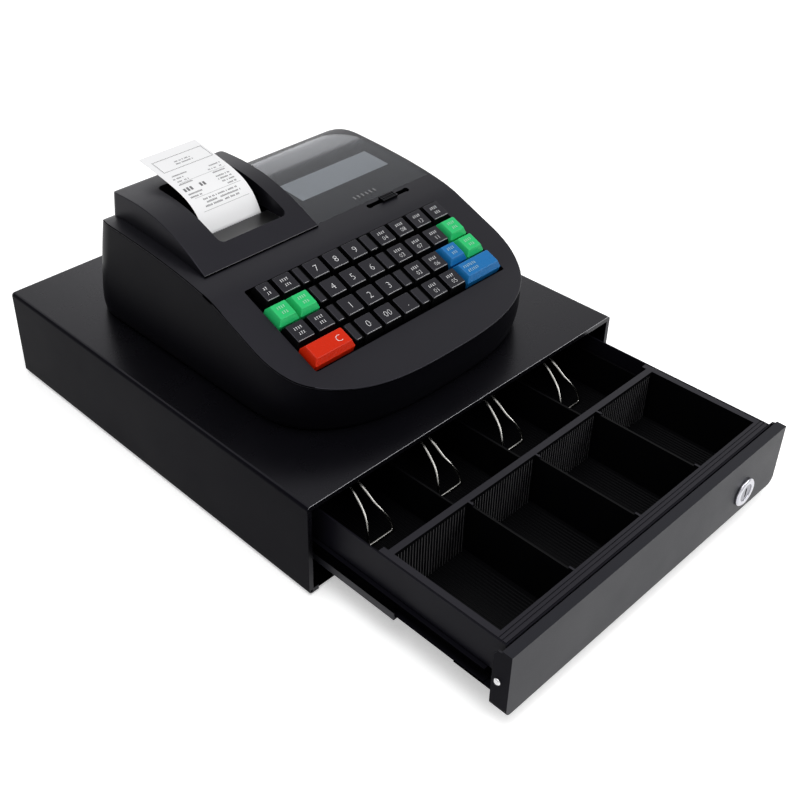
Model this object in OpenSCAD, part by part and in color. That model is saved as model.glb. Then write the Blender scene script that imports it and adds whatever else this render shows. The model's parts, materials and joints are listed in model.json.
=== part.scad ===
// Electronic till: a register with a keyboard, printer and display standing
// on a full size steel cash drawer cabinet, with the drawer standing open.
// Units are millimetres. Z is up and the front faces -Y. The part's origin
// is the middle of the footprint at the floor.

/* [Cabinet] */
// Outside width of the steel cabinet
cab_w = 330; // [310:1:460]
// Outside depth of the steel cabinet
cab_d = 365; // [340:1:480]
// Height of the steel shell, without the feet
cab_h = 79; // [76:1:120]
// Thickness of the sheet steel
sheet = 1.2; // [0.8:0.1:2]
// Rounding of the shell's long edges
cab_r = 3; // [2:0.5:6]
// Height of the turned lip round the cabinet's mouth
lip_h = 4; // [3:0.5:6]
// Gap between the shell and the floor
foot_gap = 1.5; // [1:0.5:6]
// Diameter of a rubber foot
foot_d = 18; // [12:1:26]

/* [Drawer] */
// How far the drawer's front stands out when open
drawer_out = 164.4; // [120:1:180]
// Height of the drawer's front panel
front_h = 53; // [48:1:60]
// Lower edge of the drawer's front panel above the floor
front_z = 13.8; // [12:0.2:16]
// Depth of the panel's top and side returns
return_d = 13.6; // [10:0.2:16]
// Length of the drawer pan, front to back
pan_len = 276; // [268:1:290]
// Room between the pan and the cabinet wall for a slide
slide_room = 14.5; // [14:0.5:18]
// Length of the fixed slide channels in the cabinet
slide_len = 210; // [200:1:240]
// Depth of the step in the pan's side for the slide
slide_step = 3.4; // [3:0.2:5]

/* [Till tray] */
// Depth of a coin cup, front to back
cup_d = 87.8; // [70:1:90]
// Width of the bar between the cups and the note bins
bar_w = 5.2; // [4:0.2:8]
// Thickness of the tray's walls and dividers
tray_wall = 1.6; // [1.2:0.1:2.4]
// Wire diameter of a note clip
clip_wire = 2.2; // [1.6:0.1:2.6]

/* [Lock] */
// Diameter of the lock's bright ring
lock_d = 22.5; // [18:0.5:26]
// How far the lock's ring stands proud of the panel
lock_stand = 2.5; // [1.5:0.5:4]
// Distance of the lock from the middle, to the right
lock_x = 108; // [60:1:120]

/* [Register body] */
// Half of the width of the body
body_half = 126; // [124:1:140]
// Front of the body behind the cabinet's front edge
body_front = 23.5; // [18:0.5:40]
// Back of the body's foot behind the cabinet's front edge
body_back = 311; // [305:1:330]
// Wall thickness of the mouldings
wall = 2.5; // [2:0.1:3.5]
// Height of the body's front edge above the cabinet
nose_h = 34.5; // [30:0.5:50]

/* [Keyboard] */
// Distance from one key to the next
key_pitch = 19.8; // [19:0.1:20.4]
// Gap between two key caps
key_gap = 1.4; // [1:0.1:2]
// Height of a key's top over the keyboard's face
key_rise = 4.2; // [3:0.2:6]
// Travel of a key
key_travel = 2.5; // [1.5:0.1:3]
// Slope of the keyboard in degrees
key_slope = 22.3; // [16:0.1:24]

/* [Printer] */
// Width of the printer's cover
lid_w = 110; // [106:1:112]
// Depth of the printer's cover
lid_d = 115.6; // [112:1:118]
// Rise of the printer's cover
lid_h = 27.1; // [25:0.1:32]
// Width of the paper
paper_w = 54.5; // [44:0.5:57]
// Diameter of the paper roll
roll_d = 46; // [36:1:50]

/* [Hidden] */
$fn = 48;
eps = 0.01;
fit = 0.3;                 // gap between curved faces of two pieces
hair = 0.3;                // gap between a held piece and its seat

// positions along Y are measured from the cabinet's front edge
total_len = cab_d + drawer_out + lock_stand;
y0 = lock_stand + drawer_out - total_len / 2;
cab_top = foot_gap + cab_h;
in_w = cab_w - 2 * sheet;  // inside width of the cabinet
turn_in = 9;               // width of the shell's edges turned in below

// floor plate
floor_z = foot_gap + 4.5;
floor_top = floor_z + sheet;

// drawer
pan_half = cab_w / 2 - sheet - slide_room;
pan_low = pan_half - slide_step;
front_half = cab_w / 2 - lip_h - 6;
front_y = -drawer_out;
front_top = front_z + front_h;
pan_y = front_y + 9.2;
pan_back = pan_y + pan_len;
pan_z = front_z + 5.8;
rim_z = front_top - 1;
step_z = pan_z + 19;
travel = drawer_out - 2;

// till tray
tray_half = pan_half - sheet - hair;
tray_low = pan_low - sheet - hair;
tray_z = pan_z + sheet;
tray_floor = tray_z + tray_wall;
tray_y = pan_y + sheet + hair;
cup_y = tray_y + 8.5;
bar_y = cup_y + cup_d;
bin_y = bar_y + bar_w;
tray_back = pan_back - sheet - hair;
bin_d = tray_back - tray_wall - bin_y;
inner_half = tray_low - tray_wall;
bin_pitch = 2 * inner_half / 4;
bin_div_z = rim_z - 11;
clip_y = bin_y + 92;
clip_z = bin_div_z - 5;
clip_r = clip_wire / 2;

// slides
rail_z = pan_z + 5.6;
rail_h = 12.4;
link_x = pan_half + 3.4;
link_z = rail_z - 2.9;
link_len = 172;
link_travel = travel / 2;
// the closed panel's side returns end just before the slides
channel_front = travel - drawer_out + return_d + 0.6;
link_y = channel_front - link_travel;

// fixed slide channels
channel_back = channel_front + slide_len;
channel_z = rail_z - 3;
channel_top = rail_z + rail_h + 2;

// lock
lock_z = front_z + 19;
plug_d = lock_d * 0.62;
rivet_d = 3.4;
cam_y = front_y + 13.2;     // front face of the lock's cam

// register body
body_z = cab_top;
nose_z = body_z + nose_h;
kb_y = body_front + 37.8;
kb_depth = 3 * key_pitch * cos(key_slope) + 25.2;
kb_back = kb_y + kb_depth;
kb_z = nose_z + (kb_y - body_front) * 0.24;
kb_back_z = kb_z + (kb_back - kb_y) * tan(key_slope);
crown = 14.5;
crown_y = body_back - 53;
lid_y = kb_back + 21.3;
lens_y = kb_back + 24.3;

// keyboard grid
gap_1 = 9.1;
gap_2 = 10.7;
kb_half = (8 * key_pitch + gap_1 + gap_2) / 2 + key_pitch / 2;
kb_mid = 0.9;              // the keys sit a little to the right
cap_w = key_pitch - key_gap;
cover_t = 3;
frame_n = -cover_t - 4.5;  // top of the key frame below the keyboard's face
frame_t = 2.4;
stem_w = 5;
board_n = frame_n - frame_t - key_travel - 2.6;

// printer
lid_right = -3.4;
lid_left = lid_right - lid_w;
mouth_r = lid_right - 16.1;
mouth_l = mouth_r - paper_w - 10.5;
mouth_y = lid_y + 17.2;
mouth_back = lid_y + 94;
paper_x = (mouth_l + mouth_r) / 2 - 0.8;
tear_y = mouth_y + 24.3;
spindle_d = 11;
function top(y) = y < kb_y ? nose_z + (y - body_front) * 0.24
    : y < kb_back ? kb_z + (y - kb_y) * tan(key_slope)
    : kb_back_z + crown * (1 - exp(-(y - kb_back) * 0.25 / crown))
      - (y > crown_y ? 16 * pow((y - crown_y) / 34, 3) : 0);
lid_z = top(lid_y) + 0.4;
roll_y = lid_y + 67;
roll_z = lid_z - 32;
window_z = lid_z + 4.6;    // top face of the tear-off window
peak = 90;                 // from the cover's front to its highest line
function arch(y) = let (u = min(1, (y - lid_y) / peak))
    lid_z + lid_h * (1 - pow(1 - u, 2.15))
    - (y > lid_y + peak ? pow(y - lid_y - peak, 2) * 0.0018 : 0);

// skin of the body
levels = 7;
rear_l = 29;               // corner radii at the body's back
rear_r = 38;
top_ys = concat([body_front - 6, kb_y, kb_back],
    [for (y = [kb_back + 6:8:crown_y]) y],
    [for (y = [crown_y:5:crown_y + 36]) y]);
kb_len = kb_depth / cos(key_slope);

// mode switch and display
slot_x = 70;
slot_len = 46;
slot_w = 4;
slot_y = lens_y - 5.5;
slot_tilt = atan(0.25 * exp(-(slot_y - kb_back) * 0.25 / crown));
lcd_y = lens_y + 32;
lcd_d = 28.8;
lcd_l = 12;
lcd_r = 108.5;
lcd_t = 9;                 // from the lens's face to the module's back

// the cover's hinge stands just behind its back face
lid_ys = [for (y = [lid_y:6:lid_y + lid_d - 3]) y];
hinge_r = 2.4;
hinge_y = lid_y + lid_d + hinge_r + hair;
hinge_z = top(lid_y + lid_d) + 3.4;
pin_r = 1.2;
eye_w = 8;
eye_x = [lid_left + 18, lid_right - 18 - eye_w];

// paper well, tear-off teeth and printed strip
well_t = 1.6;
tooth = 2.2;
strip_t = 0.3;
strip_len = 79;

black_steel = [0.07, 0.07, 0.08];
black_plastic = [0.1, 0.1, 0.11];
dark_key = [0.06, 0.06, 0.07];
green_key = [0.1, 0.7, 0.4];
blue_key = [0.15, 0.45, 0.75];
red_key = [0.85, 0.2, 0.1];
bright = [0.8, 0.8, 0.82];

// ---- helpers ---------------------------------------------------------

// moves a piece drawn from the cabinet's front edge into the part's frame
module placed() translate([0, y0, 0]) children();

// a box between two corners
module span(a, b) translate(a) cube(b - a);

// a box and its mirror image on the other side
module both_sides() {
    children();
    mirror([1, 0, 0]) children();
}

// a flat side profile in (y, z), drawn out along x
module side_slab(x1, x2) translate([x1, 0, 0]) rotate([90, 0, 90])
    linear_extrude(x2 - x1) children();

// ---- cash drawer cabinet ---------------------------------------------

module shell_profile(inset) hull()
    for (sx = [-1, 1], z = [foot_gap + cab_r, cab_top - cab_r])
        translate([sx * (cab_w / 2 - cab_r), z]) circle(cab_r - inset);

module cabinet() color(black_steel) placed() difference() {
    union() {
        translate([0, cab_d, 0]) rotate([90, 0, 0]) linear_extrude(cab_d)
            difference() {
                shell_profile(0);
                shell_profile(sheet);
                // open below, between the edges turned in under the floor
                translate([-cab_w / 2 + turn_in, foot_gap - 1]) square([cab_w - 2 * turn_in, 3]);
            }
        // back wall
        translate([0, cab_d, 0]) rotate([90, 0, 0]) linear_extrude(sheet) shell_profile(0);
        // turned lip round the mouth: down the face, then back
        span([-in_w / 2, 0, cab_top - lip_h], [in_w / 2, sheet, cab_top - sheet + eps]);
        span([-in_w / 2, 0, cab_top - lip_h], [in_w / 2, 7, cab_top - lip_h + 1]);
        both_sides() {
            span([cab_w / 2 - lip_h, 0, foot_gap + cab_r], [in_w / 2 + eps, sheet, cab_top - sheet]);
            span([cab_w / 2 - lip_h, 0, foot_gap + cab_r],
                 [cab_w / 2 - lip_h + 1, 4, cab_top - lip_h]);
            span([cab_w / 2 - turn_in, 0, foot_gap], [cab_w / 2 - cab_r, sheet, foot_gap + cab_r + 1]);
        }
    }
}

module cabinet_floor() color(black_steel) placed() {
    // plate, with upturned edges against the shell
    span([-in_w / 2, 5, floor_z], [in_w / 2, cab_d - sheet, floor_top]);
    span([-in_w / 2, cab_d - 2 * sheet, floor_z], [in_w / 2, cab_d - sheet, floor_top + 14]);
    both_sides() {
        span([in_w / 2 - sheet, 5, floor_z], [in_w / 2, cab_d - sheet, rail_z - 2]);
        // fixed slide channel, open towards the drawer
        span([in_w / 2 - sheet, channel_front, channel_z], [in_w / 2, channel_back, channel_top]);
        span([link_x + 2, channel_front, channel_z], [in_w / 2, channel_back, channel_z + sheet]);
        span([link_x + 2, channel_front, channel_top - sheet], [in_w / 2, channel_back, channel_top]);
    }
    // strike plate for the lock's cam
    span([lock_x - 14, cam_y + travel - 0.3 - sheet, floor_top - eps],
         [lock_x + 14, cam_y + travel - 0.3, front_z - 0.2]);
}

module feet() color([0.03, 0.03, 0.03]) placed()
    for (sx = [-1, 1], y = [26, cab_d - 26])
        translate([sx * (cab_w / 2 - 26), y, 0]) {
            cylinder(d = foot_d - 3, h = 1);
            translate([0, 0, 1]) cylinder(d = foot_d, h = floor_z - 1);
        }

// ---- slides and drawer -----------------------------------------------

module slide_links() color(black_steel) placed() both_sides() {
    // web between the two channels, with a bottom flange and two runners
    span([link_x, link_y, link_z], [link_x + sheet, link_y + link_len, rail_z + rail_h - 1]);
    span([link_x - 4, link_y, link_z], [link_x + eps, link_y + link_len, link_z + sheet]);
    for (z = [channel_z + sheet + hair, channel_top - 2 * sheet - hair])
        span([link_x + sheet - eps, link_y + 76, z],
             [in_w / 2 - sheet - hair, link_y + link_len, z + sheet]);
    // web's upper edge carries the top runner
    span([link_x, link_y + 76, rail_z + rail_h - 2],
         [link_x + sheet, link_y + link_len, channel_top - sheet - hair]);
}

module drawer_pan() color(black_steel) placed() difference() {
    union() {
        // bottom
        span([-pan_low, pan_y, pan_z], [pan_low, pan_back, pan_z + sheet]);
        both_sides() {
            // side wall, stepped in for the slide
            span([pan_low - sheet, pan_y, pan_z], [pan_low, pan_back, step_z + sheet]);
            span([pan_low - sheet, pan_y, step_z], [pan_half, pan_back, step_z + sheet]);
            span([pan_half - sheet, pan_y, step_z], [pan_half, pan_back, rim_z]);
            // drawer member of the slide
            for (z = [rail_z, rail_z + rail_h - sheet])
                span([pan_low - eps, pan_y + 12, z], [link_x - hair, pan_back, z + sheet]);
            span([link_x - hair - sheet, pan_y + 12, rail_z + rail_h - 4],
                 [link_x - hair, pan_back, rail_z + rail_h]);
            // front bracket of the slide
            span([pan_low - eps, pan_y + 2.5, rail_z - sheet], [link_x - hair, pan_y + 36, rail_z]);
            span([pan_low - eps, pan_y + 2.5, rail_z - sheet], [pan_low + sheet, pan_y + 36, rail_z + 2]);
        }
        // front and back walls
        span([-pan_low, pan_y, pan_z], [pan_low, pan_y + sheet, rim_z]);
        span([-pan_half, pan_y, step_z], [pan_half, pan_y + sheet, rim_z]);
        span([-pan_low, pan_back - sheet, pan_z], [pan_low, pan_back, rim_z - 12]);
        span([-pan_half, pan_back - sheet, step_z], [pan_half, pan_back, rim_z - 12]);
    }
    at_rivet() translate([0, 0, -30]) cylinder(d = rivet_d, h = 40);
    // opening for the lock and its cam
    translate([lock_x, pan_y - 1, lock_z]) rotate([-90, 0, 0]) cylinder(d = plug_d + 6, h = 4);
    span([lock_x - 24, pan_y - 1, pan_z - 1], [lock_x + 24, cam_y + 3.2, pan_z + 10]);
    span([lock_x - 24, pan_y - 1, pan_z + 3], [lock_x + 24, pan_y + 4, lock_z + 12]);
}

module drawer_front() color(black_steel) placed() difference() {
    union() {
        span([-front_half, front_y, front_z], [front_half, front_y + sheet, front_top]);
        // top return folded back and down
        span([-front_half, front_y, front_top - sheet], [front_half, front_y + 7.6, front_top]);
        span([-front_half + 2, front_y + 7.6 - sheet, front_top - 9],
             [front_half - 2, front_y + 7.6, front_top - eps]);
        // bottom return
        span([-front_half, front_y, front_z], [front_half, front_y + 4, front_z + sheet]);
        // side returns, with a stepped lower edge
        both_sides() side_slab(front_half - sheet, front_half) polygon([
            [front_y, front_z], [front_y + 4, front_z], [front_y + 5.4, front_z + 1.6],
            [front_y + return_d, front_z + 2.6], [front_y + return_d, front_top - 7],
            [front_y + return_d - 3, front_top - 2], [front_y, front_top - eps]]);
        // tabs that reach the pan's wall
        both_sides() span([pan_half, pan_y + 0.6, lock_z + 2],
             [front_half, front_y + return_d, lock_z + 16]);
    }
    at_rivet() translate([0, 0, -30]) cylinder(d = rivet_d, h = 40);
    translate([lock_x, front_y - 1, lock_z]) rotate([-90, 0, 0])
        cylinder(d = plug_d + 2 + 2 * fit, h = 4);
}

// the rivets' place on the panel's side, and holes for their shanks
module at_rivet() both_sides()
    translate([front_half, front_y + return_d - 1.8 - rivet_d, lock_z + 7.5]) rotate([0, 90, 0])
        children();

module panel_rivets() color(bright) placed() at_rivet() {
    cylinder(d = rivet_d * 1.5, h = 1.1);
    translate([0, 0, 1.1]) cylinder(d1 = rivet_d * 1.5, d2 = rivet_d, h = 0.7);
    translate([0, 0, pan_half - sheet - front_half])
        cylinder(d = rivet_d, h = front_half - pan_half + sheet + eps);
}

module lock_body() color(bright) placed() translate([lock_x, front_y, lock_z])
    rotate([90, 0, 0]) difference() {
        union() {
            cylinder(d = lock_d, h = lock_stand - 0.8);
            translate([0, 0, lock_stand - 0.8]) cylinder(d1 = lock_d, d2 = lock_d - 2, h = 0.8);
            translate([0, 0, -13.2]) cylinder(d = plug_d + 2, h = 13.3);
            // nut behind the panel
            translate([0, 0, -sheet - 3.2]) cylinder(d = lock_d - 1, h = 3.2, $fn = 6);
        }
        translate([0, 0, -14]) cylinder(d = plug_d, h = 20);
    }

module lock_barrel() color(bright) placed() translate([lock_x, front_y, lock_z]) {
    rotate([90, 0, 0]) difference() {
        translate([0, 0, -13.2]) cylinder(d = plug_d - 0.12, h = 13.2 + lock_stand - 0.5);
        // key slot
        translate([-0.9, -4, lock_stand - 4.5]) cube([1.8, 8, 6]);
    }
    // cam arm on the back of the plug
    translate([0, 13.2 - eps, 0]) rotate([-90, 0, 0]) cylinder(d = plug_d - 2, h = 1.6);
    difference() {
        span([-22, 13.2, -4.5], [3, 14.8, 4.5]);
        translate([-18, 12, 0]) rotate([-90, 0, 0]) cylinder(d = 3, h = 4);
    }
}

// ---- till tray and note clips ----------------------------------------

module till_tray() color(black_plastic) placed() difference() {
    union() {
        difference() {
            union() {
                span([-tray_low, cup_y - tray_wall, tray_z], [tray_low, tray_back, rim_z - 1]);
                span([-tray_half, tray_y, rim_z - 2.2], [tray_half, tray_back, rim_z]);
                both_sides() span([tray_half - tray_wall, tray_y, rim_z - 8],
                                  [tray_half, tray_back, rim_z]);
                span([-tray_half, tray_y, rim_z - 8], [tray_half, tray_y + tray_wall, rim_z]);
            }
            // four coin cups
            for (i = [0:3]) cup(i, cup_y, bar_y, i == 0 ? 0 : tray_wall / 2,
                                i == 3 ? 0 : tray_wall / 2);
            // note bins as one hollow; their dividers stand lower
            span([-inner_half, bin_y, tray_floor], [inner_half, tray_back - tray_wall, rim_z + 1]);
            // the tray's back wall is low
            span([-tray_half - 1, bin_y + 4, rim_z - 11], [tray_half + 1, tray_back + 1, rim_z + 1]);
            // grooves along the front rim
            for (y = [tray_y + 2.6, tray_y + 5.4])
                span([-tray_half - 1, y, rim_z - 0.6], [tray_half + 1, y + 0.7, rim_z + 1]);
            // finger room for the dividers' tops in the cups
            span([-inner_half, cup_y + 4, rim_z - 1.6], [inner_half, bar_y - 4, rim_z + 1]);
        }
        // note bin dividers with bosses for the clips
        for (i = [1:3]) translate([-inner_half + i * bin_pitch, 0, 0]) {
            span([-tray_wall / 2, bin_y - eps, tray_z], [tray_wall / 2, tray_back - eps, bin_div_z]);
            translate([-2.5, clip_y, clip_z]) rotate([0, 90, 0]) cylinder(r = 5, h = 5);
            span([-2.5, clip_y - 5, tray_z], [2.5, clip_y + 5, clip_z]);
        }
        both_sides() {
            translate([inner_half - 2, clip_y, clip_z]) rotate([0, 90, 0]) cylinder(r = 5, h = 2);
            span([inner_half - 2, clip_y - 5, tray_z], [inner_half + eps, clip_y + 5, clip_z]);
        }
    }
    // bores for the ends of the clips' axles
    for (i = [1:3], s = [-1, 1]) translate([-inner_half + i * bin_pitch, clip_y, clip_z])
        rotate([0, 90 * s, 0]) translate([0, 0, 0.5]) cylinder(r = clip_r + 0.08, h = 3);
    both_sides() translate([inner_half - 3, clip_y, clip_z]) rotate([0, 90, 0])
        cylinder(r = clip_r + 0.08, h = 4);
}

// the hollow of coin cup i, between two walls in y
module cup(i, ya, yb, wl, wr) {
    xa = -inner_half + i * bin_pitch;
    span([xa + wl, ya, tray_floor], [xa + bin_pitch - wr, yb, rim_z + 1]);
}

// points of one arm of a note clip: side offset, y and z. It rises from the
// axle, arches forward and drops steeply to the notes
function arm_points() = let (low = tray_floor + clip_r + hair) [
    [3.2, clip_y, clip_z], [3.6, clip_y - 6, clip_z + 5.4],
    [3.9, clip_y - 14, clip_z + 8.4], [4.1, clip_y - 22, clip_z + 6.8],
    [4.5, clip_y - 29.5, clip_z + 2.6], [5.5, clip_y - 37.6, clip_z - 4.2],
    [6.9, clip_y - 42, clip_z - 7.9], [8.9, clip_y - 45.9, clip_z - 12.5],
    [10.8, clip_y - 48.8, clip_z - 17], [12.3, clip_y - 50.2, low + 2.2],
    [11.4, clip_y - 50.4, low + 0.5], [9.6, clip_y - 50.5, low]];

// a round wire along points: one skin, closed at both ends
module tube(pts, r, sides) {
    n = len(pts);
    function unit(v) = v / norm(v);
    function dir(i) = unit(pts[min(n - 1, i + 1)] - pts[max(0, i - 1)]);
    // the side direction is carried along so that the skin does not twist
    function carry(u, d) = unit(u - (u * d) * d);
    us = [for (i = 0, u = carry([0.3, 0, 1], dir(0)); i < n; i = i + 1,
               u = i < n ? carry(u, dir(i)) : u) u];
    skin = [for (i = [0:n - 1], k = [0:sides - 1]) let (a = 360 * k / sides)
        pts[i] + r * (cos(a) * us[i] + sin(a) * cross(dir(i), us[i]))];
    polyhedron(skin, concat([[for (k = [0:sides - 1]) k]],
        [for (i = [0:n - 2], k = [0:sides - 1]) let (a = i * sides + k,
            b = i * sides + (k + 1) % sides) [a, a + sides, b + sides, b]],
        [[for (k = [sides - 1:-1:0]) (n - 1) * sides + k]]), convexity = 6);
}

// a note clip in bin i: a wire loop on an axle across the bin
module note_clip(i) color(bright) placed() {
    xl = -inner_half + i * bin_pitch + (i == 0 ? -1 : 1);
    xr = -inner_half + (i + 1) * bin_pitch - (i == 3 ? -1 : 1);
    xc = -inner_half + (i + 0.5) * bin_pitch;
    arm = arm_points();
    n = len(arm);
    translate([xl, clip_y, clip_z]) rotate([0, 90, 0]) cylinder(r = clip_r, h = xr - xl);
    // sleeve with the return spring
    translate([xc - 7, clip_y, clip_z]) rotate([0, 90, 0]) cylinder(r = clip_r + 1.7, h = 14);
    tube(concat([for (k = [0:n - 1]) [xc - arm[k][0], arm[k][1], arm[k][2]]],
        [for (k = [n - 1:-1:0]) [xc + arm[k][0], arm[k][1], arm[k][2]]]), clip_r, 12);
}

module note_clip_1() note_clip(0);
module note_clip_2() note_clip(1);
module note_clip_3() note_clip(2);
module note_clip_4() note_clip(3);

// ---- register body ---------------------------------------------------

// plan outline of the body: a full, softly curved front and round back
function plan(hw, yf, yb, rl, rr) = concat(
    [for (t = [180:6:360]) [
        hw * sign(cos(t)) * pow(abs(cos(t)), 2 / 2.8),
        yf + 75 - 75 * pow(abs(sin(t)), 2 / 2.35)]],
    [for (t = [0:10:90]) [hw - rr + rr * cos(t), yb - rr + rr * sin(t)]],
    [for (t = [90:10:170]) [-hw + rl + rl * cos(t), yb - rl + rl * sin(t)]]);

// the body's skin at several heights: height, side, front and back insets,
// and how much rounder the back's left corner is
function level(k) = [
    [0, 3.5, 7, 1, 9], [1.5, 1.6, 4.6, 0.2, 9], [5, 0.2, 3.2, 0.4, 8], [nose_h * 0.45, -1, 1.2, 3, 6],
    [nose_h, -0.6, 0, 7, 3], [nose_h + 30, 0, 0, 14, 0.5], [nose_h + 65, 0.4, 0, 23, 0]][k];

// a solid through the outlines, shrunk all round by inset
module loft(inset, lift) {
    n = len(plan(body_half, body_front, body_back, rear_l, rear_r));
    pts = [for (k = [0:levels - 1]) each
        [for (p = plan(body_half - level(k)[1] - inset, body_front + level(k)[2] + inset,
                       body_back - level(k)[3] - inset, rear_l + level(k)[4] - inset,
                       rear_r - inset))
            [p[0], p[1], body_z + lift + level(k)[0]]]];
    faces = concat([[for (i = [0:n - 1]) i]],
        [for (k = [0:levels - 2], i = [0:n - 1]) [k * n + i, (k + 1) * n + i,
            (k + 1) * n + (i + 1) % n, k * n + (i + 1) % n]],
        [[for (i = [n - 1:-1:0]) (levels - 1) * n + i]]);
    polyhedron(pts, faces, convexity = 8);
}

// everything below the body's top face, lowered by d
module under_top(d) side_slab(-body_half - 5, body_half + 5) polygon(concat(
    [[body_front - 6, body_z - 5]],
    [for (y = top_ys) [y, top(y) - d]],
    [[crown_y + 80, top(crown_y + 35) - d - 26], [crown_y + 80, body_z - 5]]));

module housing() color(black_plastic) placed() difference() {
    intersection() { loft(0, 0); under_top(cover_t); }
    intersection() { loft(wall, wall); under_top(cover_t - 5); }
}

module top_cover() color(black_plastic) placed() {
    cover_shell();
    hinge_posts();
}

// the cover without its hinge posts
module cover_shell() difference() {
    intersection() {
        loft(0, 0);
        difference() { under_top(0); under_top(cover_t); }
    }
    // keyboard opening
    keyboard_space(0.8, -20, 20);
    // printer bay
    span([lid_left + 6, mouth_y - well_t - hair, body_z],
         [lid_right - 6, lid_y + lid_d - 12, body_z + 200]);
    // seat of the display lens
    intersection() {
        lens_plan(0);
        difference() { under_top(-5); under_top(1.6); }
    }
    // opening under the lens for the display
    display_space(0.3);
    // slot of the mode switch
    translate([slot_x, slot_y, top(slot_y)]) rotate([slot_tilt, 0, 0])
        span([-slot_len / 2, -slot_w / 2, -2 * cover_t], [slot_len / 2, slot_w / 2, cover_t]);
}

// plan of the display lens, shrunk by g
module lens_plan(g) intersection() {
    translate([0, 0, body_z]) linear_extrude(200)
        polygon(plan(body_half - 3 - g, body_front, body_back - 38 - g, 30, rear_r));
    span([lid_right + 0.6 + g, lens_y + g, body_z], [body_half + 10, body_back, body_z + 200]);
}

module display_space(g) side_slab(lcd_l - g, lcd_r + g) polygon([
    [lcd_y - g, top(lcd_y) - 12], [lcd_y - g, top(lcd_y) + 5],
    [lcd_y + lcd_d + g, top(lcd_y + lcd_d) + 5], [lcd_y + lcd_d + g, top(lcd_y + lcd_d) - 12]]);

module display_lens() color([0.2, 0.2, 0.22]) placed() intersection() {
    lens_plan(hair);
    difference() { under_top(0); under_top(1.6); }
}

module display_module() color([0.5, 0.52, 0.5]) placed()
    side_slab(lcd_l, lcd_r) polygon([
        [lcd_y, top(lcd_y) - lcd_t], [lcd_y, top(lcd_y) - 1.6 - hair],
        [lcd_y + lcd_d / 2, top(lcd_y + lcd_d / 2) - 1.7 - hair],
        [lcd_y + lcd_d, top(lcd_y + lcd_d) - 1.6 - hair], [lcd_y + lcd_d, top(lcd_y + lcd_d) - lcd_t]]);

module mode_knob() color(dark_key) placed() translate([slot_x, slot_y, top(slot_y)])
    rotate([slot_tilt, 0, 0]) {
        span([-8, -3.2, hair], [8, 3.4, 4.6]);
        span([-4, -slot_w / 2 + hair, -cover_t - 2], [4, slot_w / 2 - hair, 1]);
        span([-7, -5, -cover_t - 2.4], [7, 5, -cover_t - hair]);
    }

// ---- keyboard ----------------------------------------------------------

// places things in the keyboard's plane: x along it, v up it, n out of it
module on_keys() translate([0, kb_y, kb_z]) rotate([key_slope, 0, 0]) children();

module keyboard_space(g, n1, n2) on_keys()
    span([kb_mid - kb_half - g, 0.5, n1], [kb_mid + kb_half + g, kb_len - 0.5, n2]);

function col_x(c) = kb_mid - kb_half + key_pitch / 2 + c * key_pitch
    + (c >= 2 ? gap_1 : 0) + (c >= 5 ? gap_2 : 0);
function row_v(r) = key_pitch / 2 + 2.8 + (3 - r) * key_pitch;

module key_frame() color(dark_key) placed() on_keys() difference() {
    union() {
        span([kb_mid - kb_half - 6, -1, frame_n - frame_t], [kb_mid + kb_half + 6, kb_len + 1, frame_n]);
        // rim up to the underside of the cover
        difference() {
            span([kb_mid - kb_half - 6, -1, frame_n - eps], [kb_mid + kb_half + 6, kb_len + 1, -cover_t - hair]);
            span([kb_mid - kb_half - 1.5, 0.4, frame_n - 1], [kb_mid + kb_half + 1.5, kb_len - 0.4, 0]);
        }
        // blank fillers between the blocks of keys
        for (r = [0:3]) {
            filler((col_x(1) + col_x(2)) / 2, gap_1 - 1.6, r);
            filler((col_x(4) + col_x(5)) / 2, gap_2 - 1.6, r);
        }
        // legs down to the circuit board
        for (x = [kb_mid - kb_half - 3, kb_mid + kb_half + 3], v = [5, kb_len - 5])
            translate([x, v, board_n]) cylinder(d = 5, h = frame_n - board_n - 1);
    }
    for (r = [0:3], c = [0:8]) if (!(r == 3 && (c == 1 || c == 8)))
        let (x = col_x(c) + (r == 3 && (c == 0 || c == 7) ? key_pitch / 2 : 0))
            span([x - stem_w / 2 - hair, row_v(r) - stem_w / 2 - hair, frame_n - frame_t - 1],
                 [x + stem_w / 2 + hair, row_v(r) + stem_w / 2 + hair, frame_n + 1]);
}

module filler(x, w, r) translate([x, row_v(r), 0])
    span([-w / 2, -cap_w / 2 + 1.6, frame_n - 1], [w / 2, cap_w / 2 - 1, key_rise - 1]);

module circuit_board() color([0.1, 0.3, 0.15]) placed() on_keys() {
    span([kb_mid - kb_half - 6, 1, board_n - 1.6], [kb_mid + kb_half + 6, kb_len - 1, board_n]);
    // rubber pads under the stems
    for (r = [0:3], c = [0:8]) if (!(r == 3 && (c == 1 || c == 8)))
        translate([col_x(c) + (r == 3 && (c == 0 || c == 7) ? key_pitch / 2 : 0), row_v(r), board_n - eps])
            cylinder(d = 7, h = 0.8);
}

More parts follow.
